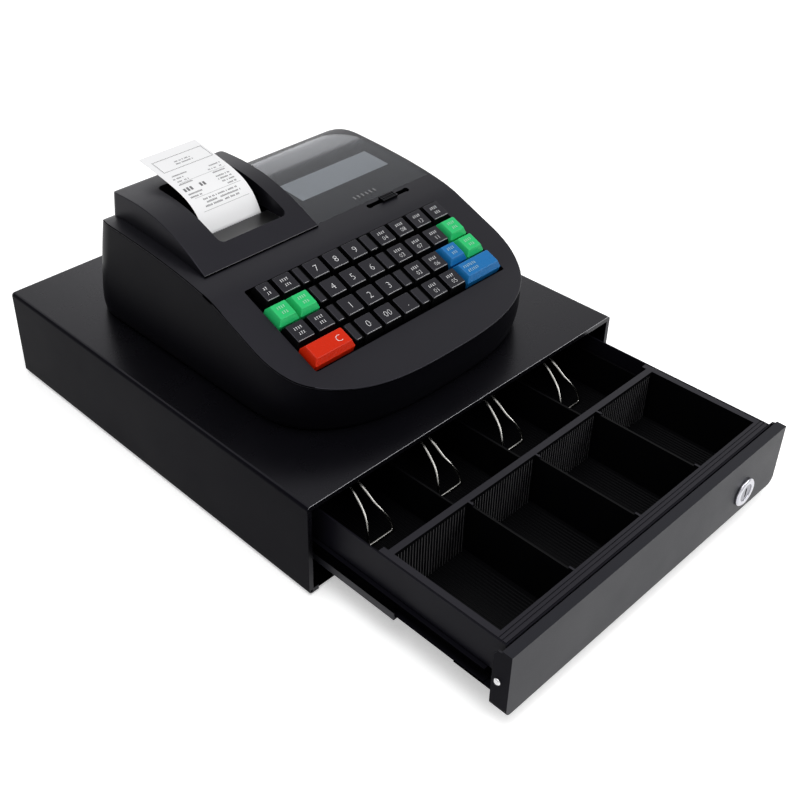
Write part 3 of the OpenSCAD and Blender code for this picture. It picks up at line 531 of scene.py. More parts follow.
def front_view(u: float, v: float, level: float) -> Point:
    """Places a front outline (x, z) at a level along y."""
    return (u, level, v)


def rounded(left: float, front: float, right: float, back: float, radius: float | Sequence[float],
            steps: int = 6) -> list[Pair]:
    """Gives a rectangle with round corners.

    Args:
        left: Its least x.
        front: Its least y.
        right: Its greatest x.
        back: Its greatest y.
        radius: The corners' radius, or one each, anticlockwise from the front left.
        steps: Edges round each corner.

    Returns:
        The outline's points, anticlockwise.
    """
    radii = [radius] * 4 if isinstance(radius, (int, float)) else list(radius)
    corners = (
        (left, front, 1, 1), (right, front, -1, 1), (right, back, -1, -1), (left, back, 1, -1)
    )
    points = []
    for turn, (r, (x, y, sx, sy)) in enumerate(zip(radii, corners)):
        for step in range(steps + 1):
            c, s = unit(180 + 90 * turn + 90 * step / steps)
            points.append((x + sx * r + r * c, y + sy * r + r * s))
    return points


def loft(mesh: Mesh, rings: Sequence[Sequence[Vector]], cap: bool = True) -> list[Face]:
    """Adds a skin through rings of points that match one to one.

    Args:
        mesh: The mesh that takes it.
        rings: The rings, each a closed loop.
        cap: Whether both ends are closed.

    Returns:
        The new faces.
    """
    rows = [[mesh.verts.new(p) for p in ring] for ring in rings]
    count = len(rows[0])
    made = []
    for low, high in zip(rows, rows[1:]):
        for i in range(count):
            j = (i + 1) % count
            made.append(mesh.faces.new((low[i], low[j], high[j], high[i])))
    if cap:
        made.append(mesh.faces.new(rows[0]))
        made.append(mesh.faces.new(rows[-1]))
    bmesh.ops.recalc_face_normals(mesh, faces=made)
    return made


def cut(target: Mesh, tool: Mesh, operation: str = "DIFFERENCE") -> Mesh:
    """Cuts one closed mesh with another.

    Args:
        target: The mesh to cut; it is freed.
        tool: The cutting mesh; it is freed.
        operation: The name of the Boolean operation.

    Returns:
        The result as a new mesh.
    """
    pair = []
    for source in (target, tool):
        data = bpy.data.meshes.new("cutting")
        source.to_mesh(data)
        source.free()
        pair.append(add_object("cutting", data))
    modifier = pair[0].modifiers.new("cut", "BOOLEAN")
    modifier.operation = operation
    modifier.solver = "EXACT"
    modifier.object = pair[1]
    evaluated = pair[0].evaluated_get(bpy.context.evaluated_depsgraph_get())
    result = bmesh.new()
    result.from_mesh(evaluated.to_mesh())
    evaluated.to_mesh_clear()
    for obj in pair:
        data = obj.data
        bpy.data.objects.remove(obj)
        bpy.data.meshes.remove(data)
    return result


def join(mesh: Mesh, other: Mesh) -> None:
    """Adds one mesh to another.

    Args:
        mesh: The mesh that takes it.
        other: The mesh to add; it is freed.
    """
    data = bpy.data.meshes.new("joining")
    other.to_mesh(data)
    other.free()
    mesh.from_mesh(data)
    bpy.data.meshes.remove(data)


def soften(mesh: Mesh, chosen: Callable[[Edge], bool], edge: float, segments: int = 2) -> None:
    """Rounds the edges that a test picks.

    Args:
        mesh: The mesh.
        chosen: Says of an edge whether it is rounded.
        edge: The rounding.
        segments: Faces across it.
    """
    edges = [e for e in mesh.edges if len(e.link_faces) == 2 and chosen(e)]
    if edges:
        bmesh.ops.bevel(mesh, geom=edges, offset=edge, segments=segments, **BEVEL)


def write(text: str, size: float) -> bpy.types.Mesh:
    """Makes flat figures, centred on the origin in the XY plane.

    Args:
        text: The figures.
        size: Their height's measure.

    Returns:
        The mesh.
    """
    curve = bpy.data.curves.new("figures", type="FONT")
    curve.body = text
    curve.size = size
    curve.align_x, curve.align_y = "CENTER", "CENTER"
    curve.resolution_u = 2
    curve.offset = -0.022 * size
    curve.space_line = 0.95
    obj = add_object("figures", curve)
    graph = bpy.context.evaluated_depsgraph_get()
    data = bpy.data.meshes.new_from_object(obj.evaluated_get(graph))
    bpy.data.objects.remove(obj)
    bpy.data.curves.remove(curve)
    data.materials.clear()
    return data


def print_on(mesh: Mesh, text: str, size: float, place: Matrix, index: int) -> None:
    """Adds flat figures to a mesh.

    Args:
        mesh: The mesh that takes them.
        text: The figures.
        size: Their size.
        place: Where their plane lies.
        index: The material index of their faces.
    """
    data = write(text, size)
    data.transform(place)
    before = len(mesh.faces)
    mesh.from_mesh(data)
    bpy.data.meshes.remove(data)
    mesh.faces.ensure_lookup_table()
    for face in mesh.faces[before:]:
        face.material_index = index


def patch(mesh: Mesh, place: Matrix, wide: float, high: float, index: int) -> None:
    """Adds a flat printed rectangle to a mesh.

    Args:
        mesh: The mesh that takes it.
        place: Where its plane and its middle lie.
        wide: Its width.
        high: Its height.
        index: The material index of its face.
    """
    made = bmesh.ops.create_grid(
        mesh, x_segments=1, y_segments=1, size=0.5,
        matrix=place @ Matrix.Diagonal((wide, high, 1, 1)),
    )["verts"]
    for face in {f for vert in made for f in vert.link_faces}:
        face.material_index = index


def tube(mesh: Mesh, points: Sequence[Vector], radius: float, sides: int = 14) -> None:
    """Adds a round wire along points.

    Args:
        mesh: The mesh that takes it.
        points: The wire's middle line.
        radius: The wire's radius.
        sides: Faces round it.
    """
    rings = []
    side = Vector((0.3, 0.1, 1))  # across the line; each ring starts from the one before
    for i, point in enumerate(points):
        ahead = (points[min(i + 1, len(points) - 1)] - points[max(i - 1, 0)]).normalized()
        side = (side - ahead * side.dot(ahead)).normalized()
        other = ahead.cross(side)
        rings.append([
            point + radius * (math.cos(a) * side + math.sin(a) * other)
            for a in (math.tau * k / sides for k in range(sides))
        ])
    loft(mesh, rings)


def eased(points: Sequence[Vector], steps: int = 5) -> list[Vector]:
    """Rounds a line of points off into a smooth curve through all of them.

    Args:
        points: The points.
        steps: Pieces between two of them.

    Returns:
        The points of the smooth curve.
    """
    line = []
    for i in range(len(points) - 1):
        p0, p1 = points[max(i - 1, 0)], points[i]
        p2, p3 = points[i + 1], points[min(i + 2, len(points) - 1)]
        for k in range(steps):
            t = k / steps
            line.append(
                0.5 * ((2 * p1) + (p2 - p0) * t + (2 * p0 - 5 * p1 + 4 * p2 - p3) * t * t
                       + (3 * p1 - 3 * p2 + p3 - p0) * t**3)
            )
    return [*line, points[-1]]


# ---- the shape that the pieces share ----


@dataclass(frozen=True)
class TillShape:
    """Sizes that several pieces share, as in the part's solids.

    Attributes:
        COUNT: Points of the body's outline.
        EASED: How far from a crease the top face is eased.
        cabinet_half: Half of the cabinet's width.
        cabinet_top: Height of the cabinet's top.
        body_half: Half of the body's width.
        body_front: The body's front.
        body_back: The body's back.
        nose_height: Height of the body's front edge above the cabinet.
        nose_slope: Slope of the top face in front of the keys.
        nose_length: Depth of the outline's round front.
        keys_front: Front of the keyboard's slope.
        key_pitch: Pitch of the keys.
        key_slope: The keyboard's slope, in degrees.
        crown: Height that the top face gains behind the keys.
        crown_slope: Slope of the top face just behind the keys.
        crown_y: Where the top face starts to drop.
        drop: The drop of the top face over the drop's length.
        drop_length: The drop's length.
        rear_left: Radius of the outline's rear left corner.
        rear_right: Radius of the outline's rear right corner.
    """

    COUNT: ClassVar[int] = 152
    EASED: ClassVar[float] = 9.0

    cabinet_half: float = 165.0
    cabinet_top: float = 80.5
    body_half: float = 126.0
    body_front: float = 23.5
    body_back: float = 311.0
    nose_height: float = 34.5
    nose_slope: float = 0.24
    nose_length: float = 75.0
    keys_front: float = 61.3
    key_pitch: float = 19.8
    key_slope: float = 22.3
    crown: float = 14.5
    crown_slope: float = 0.25
    crown_y: float = 258.0
    drop: float = 16.0
    drop_length: float = 34.0
    rear_left: float = 29.0
    rear_right: float = 38.0

    @property
    def nose_top(self) -> float:
        """Height of the body's front edge."""
        return self.cabinet_top + self.nose_height

    @property
    def keys_length(self) -> float:
        """Length of the keyboard's slope."""
        return 3 * self.key_pitch + 25.2 / math.cos(math.radians(self.key_slope))

    @property
    def keys_back(self) -> float:
        """Back of the keyboard's slope."""
        return self.keys_front + self.keys_length * math.cos(math.radians(self.key_slope))

    @property
    def keys_z(self) -> float:
        """Height of the keyboard's front edge."""
        return self.nose_top + (self.keys_front - self.body_front) * self.nose_slope

    @property
    def lid_front(self) -> float:
        """Front edge of the printer's cover."""
        return self.keys_back + 21.3

    def height(self, y: float) -> float:
        """Height of the body's top face at y.

        Args:
            y: The place, back from the cabinet's front edge.

        Returns:
            The height.
        """
        slope = math.tan(math.radians(self.key_slope))
        if y < self.keys_front:
            return self.nose_top + (y - self.body_front) * self.nose_slope
        if y < self.keys_back:
            return self.keys_z + (y - self.keys_front) * slope
        base = self.keys_z + (self.keys_back - self.keys_front) * slope
        rise = self.crown * (1 - math.exp(-(y - self.keys_back) * self.crown_slope / self.crown))
        if y <= self.crown_y:
            return base + rise
        return base + rise - self.drop * ((y - self.crown_y) / self.drop_length) ** 3

    def top(self, y: float) -> float:
        """Height of the top face with its two creases eased.

        Args:
            y: The place, back from the cabinet's front edge.

        Returns:
            The height.
        """
        near = min(abs(y - self.keys_front), abs(y - self.keys_back))
        if near > self.EASED:
            return self.height(y)
        weights = {-6: 1, -3: 2, 0: 3, 3: 2, 6: 1}
        total = sum(weights.values())
        return sum(w * self.height(y + d) for d, w in weights.items()) / total

    def inset(self, z: float) -> Quad:
        """Reads a smooth curve through a table of the outline's insets.

        Args:
            z: The height.

        Returns:
            The insets of the side, front and back, and the extra radius of the rear left corner.
        """
        table = (
            (0, 3.5, 7, 1, 9), (1.5, 1.6, 4.6, 0.2, 9), (5, 0.2, 3.2, 0.4, 8),
            (self.nose_height * 0.45, -1, 1.2, 3, 6), (self.nose_height, -0.6, 0, 7, 3),
            (self.nose_height + 30, 0, 0, 14, 0.5), (self.nose_height + 65, 0.4, 0, 23, 0),
        )
        h = min(max(z - self.cabinet_top, 0.0), table[-1][0])
        k = next(i for i in range(len(table) - 1) if h <= table[i + 1][0])
        low, high = table[k], table[k + 1]
        t = (h - low[0]) / (high[0] - low[0])
        before, after = table[max(k - 1, 0)], table[min(k + 2, len(table) - 1)]
        values = []
        for i in range(1, 5):
            span = high[0] - low[0]
            m0 = (high[i] - before[i]) / (high[0] - before[0]) * span if k else high[i] - low[i]
            m1 = (after[i] - low[i]) / (after[0] - low[0]) * span
            values.append(
                (2 * t**3 - 3 * t**2 + 1) * low[i] + (t**3 - 2 * t**2 + t) * m0
                + (3 * t**2 - 2 * t**3) * high[i] + (t**3 - t**2) * m1
            )
        return tuple(values)

    def spot(self, index: int, z: float, inset: float = 0.0) -> Pair:
        """A point of the body's outline at a height.

        Args:
            index: The point's number, anticlockwise from the left; there are COUNT of them.
            z: The height.
            inset: How far the outline is drawn in.

        Returns:
            x and y.
        """
        side, front, back, extra = self.inset(z)
        hw = self.body_half - side - inset
        yf, yb = self.body_front + front + inset, self.body_back - back - inset
        rl, rr = self.rear_left + extra - inset, self.rear_right - inset
        run = self.nose_length
        if index < 73:  # the round front
            c, s = unit(180 + 2.5 * index)
            wide = math.copysign(abs(c) ** (2 / 2.8), c)
            return (hw * wide, yf + run - run * abs(s) ** (2 / 2.35))
        if index < 88:  # the right side
            return (hw, yf + run + (yb - rr - yf - run) * (index - 72) / 16)
        if index < 107:  # the rear right corner
            c, s = unit(5 * (index - 88))
            return (hw - rr + rr * c, yb - rr + rr * s)
        if index < 118:  # the back
            return (hw - rr + (rl + rr - 2 * hw) * (index - 106) / 12, yb)
        if index < 137:  # the rear left corner
            c, s = unit(90 + 5 * (index - 118))
            return (-hw + rl + rl * c, yb - rl + rl * s)
        return (-hw, yb - rl - (yb - rl - yf - run) * (index - 136) / 16)

    def on_keys(self) -> Matrix:
        """The keyboard's plane: x along it, y up it and z out of it."""
        turn = Matrix.Rotation(math.radians(self.key_slope), 4, "X")
        return Matrix.Translation((0, self.keys_front, self.keys_z)) @ turn

    def on_crown(self, x: float, y: float) -> Matrix:
        """The plane that touches the top face behind the keys at a point.

        Args:
            x: The point's x.
            y: The point's y.

        Returns:
            The plane, with z out of the face.
        """
        slope = self.crown_slope
        tilt = math.atan(slope * math.exp(-(y - self.keys_back) * slope / self.crown))
        return Matrix.Translation((x, y, self.height(y))) @ Matrix.Rotation(tilt, 4, "X")


SHAPE = TillShape()


def draped_cap(mesh: Mesh, ring: Sequence[Vert],
               height: Callable[[float], float], levels: Iterable[float]) -> None:
    """Closes a loop with a face that is cut in strips and follows a height that varies along y.

    Args:
        mesh: The mesh that takes it.
        ring: The loop's vertices, already at their heights.
        height: Gives the height at y.
        levels: The cuts' places along y.
    """
    face = mesh.faces.new(ring)
    geom = [face, *face.edges, *face.verts]
    known = set(face.verts)
    for y in levels:
        geom = bmesh.ops.bisect_plane(
            mesh, geom=geom, dist=1e-4, plane_co=(0, y, 0), plane_no=(0, 1, 0)
        )["geom"]
    for item in geom:
        if isinstance(item, Vert) and item not in known:
            item.co.z = height(item.co.y)


def cap_levels(low: float, high: float) -> list[float]:
    """Places along y where the top face's strips are cut, between two limits.

    Args:
        low: The lower limit.
        high: The upper limit.

    Returns:
        The places.
    """
    creases = [c + d for c in (SHAPE.keys_front, SHAPE.keys_back) for d in range(-9, 10, 3)]
    rear = [SHAPE.keys_back + 9 + 4 * k for k in range(1, 42)]
    return [y for y in creases + rear if low + 0.3 < y < high - 0.3]


def draped_plate(outline: Outline, upper: Callable[[float], float],
                 lower: Callable[[float], float], edge: float = 0.0) -> Mesh:
    """Builds a plate with a given plan whose two faces follow heights that vary along y.

    Args:
        outline: The plan, anticlockwise.
        upper: Height of its upper face at y.
        lower: Height of its lower face at y.
        edge: Rounding of its upper rim.

    Returns:
        The closed plate.
    """
    mesh = bmesh.new()
    rings = [[Vector((x, y, lower(y))) for x, y in outline]]
    middle = Vector((sum(p[0] for p in outline), sum(p[1] for p in outline))) / len(outline)
    count = len(outline)
    for c, s in map(unit, (0, 30, 60, 90) if edge else (90,)):
        pull = edge * (1 - c)
        ring = []
        for i, (x, y) in enumerate(outline):
            along = Vector(outline[(i + 1) % count]) - Vector(outline[i - 1])
            inward = Vector((-along.y, along.x)).normalized()
            if inward.dot(middle - Vector((x, y))) < 0 and count < 40:
                inward = -inward
            px, py = x + inward.x * pull, y + inward.y * pull
            ring.append(Vector((px, py, upper(py) - edge * (1 - s))))
        rings.append(ring)
    loft(mesh, rings, cap=False)
    mesh.verts.ensure_lookup_table()
    rows = [list(mesh.verts)[k * count:(k + 1) * count] for k in range(len(rings))]
    low, high = min(p[1] for p in outline), max(p[1] for p in outline)
    draped_cap(mesh, rows[0], lower, cap_levels(low, high))
    draped_cap(mesh, rows[-1], upper, cap_levels(low, high))
    bmesh.ops.recalc_face_normals(mesh, faces=mesh.faces)
    return mesh


@dataclass
class Section:
    """A section of the till that is dressed from its solids.

    Attributes:
    """

    frame: dict

    def merged(self, node: str, edge: float = 0.0, segments: int = 2) -> Mesh:
        """Copies a solid, with its seams merged, in the millimetres of the drawing.

        Args:
            node: The solid's name.
            edge: Rounding of its creases.
            segments: Faces across the rounding.

        Returns:
            The copy.
        """
        mesh = bmesh.new()
        mesh.from_mesh(self.frame["nodes"][node].data)
        bmesh.ops.remove_doubles(mesh, verts=mesh.verts, dist=2e-6)
        mesh.transform(Matrix.Translation((0, -FRONT_EDGE, 0)) @ Matrix.Scale(1 / MM, 4))
        bmesh.ops.dissolve_limit(
            mesh, angle_limit=math.radians(0.5), verts=mesh.verts, edges=mesh.edges
        )
        if edge > 0:
            soften(mesh, sharp, edge, segments)
        return mesh

    def refine(self, node: str, body: Body, slot: Slot, finishes: Sequence[Finish], edge: float,
               segments: int = 2, choose: Callable[[Face], int] | None = None) -> None:
        """Replaces a solid by a copy of it with rounded edges.

        Args:
            node: The solid's name.
            body: The body that it rides on.
            slot: The record's material slot.
            finishes: The copy's finishes.
            edge: The rounding, in millimetres.
            segments: Faces across the rounding.
            choose: Gives the number of a face's finish, if there are several.
        """
        mesh = self.merged(node, edge, segments)
        if choose:
            paint(mesh, choose)
        settle(mesh, node, body, slot, finishes)


# ---- cash drawer ----


@dataclass
class Cabinet(Section):
    """The folded steel cabinet with its floor plate and rubber feet.

    Attributes:
        fold: Rounding of the folded sheet's edges.
        foot_edge: Rounding of the feet.
        block: Width, back, foot and top of the blocks in the lower front corners, near-black
            painted shade that stands in for the shade there.
        block_gap: From the cabinet's outer face to a block.
        block_front: Front of the blocks.
        block_edge: Rounding of the blocks.
    """

    fold: float = 0.5
    foot_edge: float = 0.8
    block: Quad = (29.0, 9.0, 1.55, 13.0)
    block_gap: float = 1.3
    block_front: float = 0.7
    block_edge: float = 1.6

    def build(self) -> None:
        """Builds and dresses the cabinet's pieces."""
        self.shell()
        # The floor plate is all painted shade: near-black for the shade under the drawer.
        self.refine("cabinet_floor", Body.BASE, Slot.CABINET, [PAINTED_SHADE], self.fold)
        self.refine("feet", Body.BASE, Slot.FOOT, [FOOT_RUBBER], self.foot_edge, 3)

    def shell(self) -> None:
        """Builds the folded shell, with a near-black block of painted shade in each lower front
        corner.
        """
        mesh = self.merged("cabinet", self.fold, 3)

        def finish(face: Face) -> int:
            """Tells the sides, which get a painted-shade copy of the paint, and the top's front
            fold, which gets a painted highlight, from the rest.

            Args:
                face: The face.

            Returns:
                The number of its finish.
            """
            # The sides take the duller painted-shade copy of the paint.
            if abs(face.normal.x) > 0.5:
                return 1
            # The top's front fold takes the painted highlight.
            middle, normal = face.calc_center_median(), face.normal
            folded = normal.y < -0.2 and normal.z > 0.2
            on_top = middle.z > SHAPE.cabinet_top - 1.5 and middle.y < 3
            return 2 if folded and on_top else 0

        paint(mesh, finish)
        blocks = bmesh.new()
        wide, deep, low, high = self.block
        half = SHAPE.cabinet_half - self.block_gap
        for side in (-1, 1):
            ends = sorted((side * half, side * (half - wide)))
            near, far = (ends[0], self.block_front, low), (ends[1], deep, high)
            box(blocks, near, far, self.block_edge, 3)
        # The blocks take the near-black painted shade, for the shade in the lower front corners.
        paint(blocks, lambda face: 3)
        join(mesh, blocks)
        settle(mesh, "cabinet", Body.BASE, Slot.CABINET,
               [CABINET_PAINT, CABINET_SIDE_PAINTED_SHADE, FOLD_PAINTED_HIGHLIGHT, PAINTED_SHADE])


@dataclass
class CashDrawer(Section):
    """The drawer's pan and front panel, its slides and its lock.

    Attributes:
        fold: Rounding of the folded sheet's edges.
        panel_fold: Rounding of the front panel's edges.
        corner: Radius of the panel's lower right corner.
        left_corner: Radius of the panel's lower left corner.
        rivet_edge: Rounding of the rivets.
        lock_edge: Rounding of the lock's ring.
        plug_edge: Rounding of the lock's plug.
        step: Height of the pan's step, below which the slide's members sit.
        strip: Height of the lighter strip along the slides' lower edge, a painted highlight in the
            panel paint.
    """

    fold: float = 0.3
    panel_fold: float = 0.55
    corner: float = 7.0
    left_corner: float = 4.9
    rivet_edge: float = 0.25
    lock_edge: float = 0.4
    plug_edge: float = 0.2
    step: float = 38.6
    strip: float = 6.5

    def build(self) -> None:
        """Builds and dresses the drawer's pieces."""
        self.links()
        self.pan()
        self.front()
        self.refine("panel_rivets", Body.DRAWER, Slot.BRIGHT, [BRIGHT_STEEL], self.rivet_edge)
        self.lock()

    def links(self) -> None:
        """Builds the slides' intermediate members; their lower edge is painted lighter, a painted
        highlight for the light it catches.
        """
        mesh = self.merged("slide_links", self.fold)
        top = min(v.co.z for v in mesh.verts) + self.strip
        bmesh.ops.bisect_plane(
            mesh, geom=[*mesh.verts, *mesh.edges, *mesh.faces], dist=1e-4,
            plane_co=(0, 0, top), plane_no=(0, 0, 1),
        )
        # The lower strip takes the lighter panel paint: a painted highlight where the edge catches
        # light.
        paint(mesh, lambda face: int(face.calc_center_median().z < top))
        settle(mesh, "slide_links", Body.SLIDES, Slot.SLIDE, [SLIDE_STEEL_AND_PAINTED_SHADE, PANEL_PAINT])

    def pan(self) -> None:
        """Builds the pan; the slide's members below its step are darker: near-black slide steel,
        with the recess's shade painted in.
        """
        self.refine(
            "drawer_pan", Body.DRAWER, Slot.SLIDE, [PAN_PAINT, SLIDE_STEEL_AND_PAINTED_SHADE], self.fold,
            choose=lambda f: int(f.calc_center_median().z < self.step and f.normal.z < 0.9),
        )

    def front(self) -> None:
        """Builds the front panel with its round lower corners; its side returns are painted darker
        as painted shade.
        """
        mesh = self.merged("drawer_front")
        low = min(v.co.z for v in mesh.verts)
        front = min(v.co.y for v in mesh.verts)
        half = max(v.co.x for v in mesh.verts)
        for side, r in ((1, self.corner), (-1, self.left_corner)):
            arc = [
                (side * (half - r + r * s), low + r - r * c)
                for c, s in (unit(15 * k) for k in range(7))
            ]
            tool = bmesh.new()
            outline = [*arc, (side * (half + 1), low + r), (side * (half + 1), low - 1),
                       (side * (half - r), low - 1)]
            slab(tool, outline, front_view, front - 1, front + 40)
            mesh = cut(mesh, tool)
        bmesh.ops.remove_doubles(mesh, verts=mesh.verts, dist=1e-3)
        soften(mesh, sharp, self.panel_fold, 3)
        # The side returns take the darker, duller copy: painted shade.
        paint(mesh, lambda face: int(abs(face.normal.x) > 0.8))
        settle(mesh, "drawer_front", Body.DRAWER, Slot.PANEL, [PANEL_PAINT, PANEL_RETURN_PAINTED_SHADE])

    def lock(self) -> None:
        """Builds the lock's ring and its plug, whose face is duller."""
        self.refine("lock_body", Body.DRAWER, Slot.CHROME, [LOCK_CHROME], self.lock_edge, 3)
        mesh = self.merged("lock_barrel", self.plug_edge)
        front = min(v.co.y for v in mesh.verts)

        def finish(face: Face) -> int:
            """Tells the plug's face and the keyway's walls, painted dark as painted shade, from
            the rest.
            """
            deep = face.calc_center_median().y - front
            return 1 if deep < 0.1 else 2 if deep < 5 else 0

        # The keyway's walls take the keys' painted shade.
        paint(mesh, finish)
        settle(mesh, "lock_barrel", Body.LOCK_PLUG, Slot.CHROME,
               [LOCK_CHROME, LOCK_FACE, KEY_SIDE_PAINTED_SHADE])


@dataclass
class TillTray(Section):
    """The moulded tray with coin cups in front and note bins behind.

    Attributes:
        half: Half of the hollow's width.
        pitch: Width of a bin, wall to wall.
        wall: Half of a wall between two bins.
        edge: Rounding of the tray's edges.
        floor: Height of the tray's floor.
        rim: Height of the rim.
        cup_front: Front of the coin cups.
        bar: Back of the cups, at the bar's front face.
        bins: Front of the note bins.
        back: Inner face of the back wall.
        rib: Pitch of the moulded ribs.
        proud: How far the ribs stand out.
    """

    half: float = 142.8
    pitch: float = 71.4
    wall: float = 0.8
    edge: float = 0.35
    floor: float = 22.4
    rim: float = 65.8
    cup_front: float = -145.2
    bar: float = -57.4
    bins: float = -52.2
    back: float = 117.7
    rib: float = 2.75
    proud: float = 0.35

    def build(self) -> None:
        """Builds and dresses the tray."""
        mesh = self.merged("till_tray")
        soften(mesh, lambda e: e.calc_face_angle(0) > 0.8, self.edge)
        for index in range(4):
            left = -self.half + index * self.pitch + (0 if index == 0 else self.wall)
            right = left + self.pitch - self.wall * (1 if index in (0, 3) else 2)
            self.ribs(mesh, left, right)
        edge = self.rim - 1.2

        def finish(face: Face) -> int:
            """Tells the rim, painted lighter as painted light, from the rest, and leaves the ribs
            as they are.
            """
            plain = face.material_index == 0
            return 2 if plain and face.calc_center_median().z > edge else face.material_index

        # The rim's top takes the lighter copy of the plastic: painted light.
        paint(mesh, finish)
        settle(mesh, "till_tray", Body.DRAWER, Slot.TRAY, [TRAY_PLASTIC, TRAY_RIB_PAINTED_HIGHLIGHT, TRAY_RIM_PAINTED_LIGHT])

    def ribs(self, mesh: Mesh, left: float, right: float) -> None:
        """Adds the moulded ribs of one coin cup and the note bin behind it.

        Args:
            mesh: The tray's mesh.
            left: The hollow's left face.
            right: The hollow's right face.
        """
        count = int((right - left - 2) / self.rib)
        start = (left + right - (count - 1) * self.rib) / 2
        low, top, flat, deep = self.floor - 0.3, self.rim - 2.4, self.floor, self.proud
        for k in range(count):
            x = start + k * self.rib
            # up the cup's back and front walls, with a painted highlight on their crests, then
            # along the floors
            self.strip(mesh, (x, self.bar, low), (x, self.bar, top), (0, -deep, 0), 1)
            self.strip(mesh, (x, self.cup_front, low), (x, self.cup_front, top), (0, deep, 0), 1)
            self.strip(mesh, (x, self.cup_front, flat), (x, self.bar, flat), (0, 0, deep))
            self.strip(mesh, (x, self.bins, flat), (x, self.back, flat), (0, 0, deep))

    def strip(self, mesh: Mesh, start: Point, end: Point, out: Point, index: int = 0) -> None:
        """Adds one low rib with sloping flanks.

        Args:
            mesh: The mesh that takes it.
            start: One end, in the wall's face.
            end: The other end.
            out: From the wall's face to the rib's crest.
            index: The material index of its crest faces, which paints a highlight on the walls'
                ribs.
        """
        a, b, o = Vector(start), Vector(end), Vector(out)
        side = (b - a).cross(o).normalized()
        wide, narrow = side * self.rib * 0.3, side * self.rib * 0.07
        sunk = o * -0.5
        across = (sunk - wide, o - narrow, o + narrow, sunk + wide)
        rings = [[p + offset for offset in across] for p in (a, b)]
        for face in loft(mesh, rings):
            # The crests of the wall ribs take the painted highlight.
            if index and face.normal.dot(o.normalized()) > 0.9:
                face.material_index = index


@dataclass
class NoteClips:
    """Four wire clips that hold the notes down, each on an axle across its bin.

    Attributes:
        half: Half of the hollow's width.
        pitch: Width of a bin.
        axle_y: The axle's place along y.
        axle_z: The axle's height.
        low: Height of the wire's middle where it rests on the floor.
        radius: The wire's radius.
        coil: The spring's wire radius, half length and turns.
    """

    half: float = TillTray.half
    pitch: float = TillTray.pitch
    axle_y: float = 39.8
    axle_z: float = 49.8
    low: float = 23.8
    radius: float = 1.1
    coil: tuple[float, float, int] = (0.62, 6.3, 9)

    def arm(self) -> list[Point]:
        """Points of one arm: side offset from the bin's middle, y and z.

        Returns:
            The points, from the axle to the wire's lowest bend.
        """
        y, z, low = self.axle_y, self.axle_z, self.low
        return [
            (3.2, y, z), (3.6, y - 6, z + 5.4), (3.9, y - 14, z + 8.4), (4.1, y - 22, z + 6.8),
            (4.5, y - 29.5, z + 2.6), (5.5, y - 37.6, z - 4.2), (6.9, y - 42, z - 7.9),
            (8.9, y - 45.9, z - 12.5), (10.8, y - 48.8, z - 17), (12.3, y - 50.2, low + 2.2),
            (11.4, y - 50.4, low + 0.5), (9.6, y - 50.5, low),
        ]

    def build(self) -> None:
        """Builds and dresses the four clips."""
        for index in range(4):
            mesh = bmesh.new()
            left = -self.half + index * self.pitch
            middle = left + self.pitch / 2
            start = left + (-1 if index == 0 else 1)
            end = left + self.pitch + (1 if index == 3 else -1)
            arm = self.arm()
            line = [Vector((middle - dx, y, z)) for dx, y, z in arm]
            line += [Vector((middle + dx, y, z)) for dx, y, z in reversed(arm)]
            tube(mesh, eased(line), self.radius)
            y, z = self.axle_y, self.axle_z
            rod(mesh, (start, y, z), (end, y, z), self.radius)
            self.spring(mesh, middle)
            settle(mesh, f"note_clip_{index + 1}", f"clip_{index + 1}", Slot.BRIGHT,
                   [CLIP_WIRE_PAINTED_SHADE], "wire", 50.0)

    def spring(self, mesh: Mesh, middle: float) -> None:
        """Adds the coil spring round the axle.

        Args:
            mesh: The clip's mesh.
            middle: The bin's middle.
        """
        wire, half, turns = self.coil
        count = turns * 16
        reach = self.radius + 0.95
        line = []
        for k in range(count + 1):
            a = math.tau * k / 16
            line.append(Vector((
                middle - half + 2 * half * k / count,
                self.axle_y + reach * math.cos(a),
                self.axle_z + reach * math.sin(a),
            )))
        tube(mesh, line, wire, 8)


# ---- register body ----


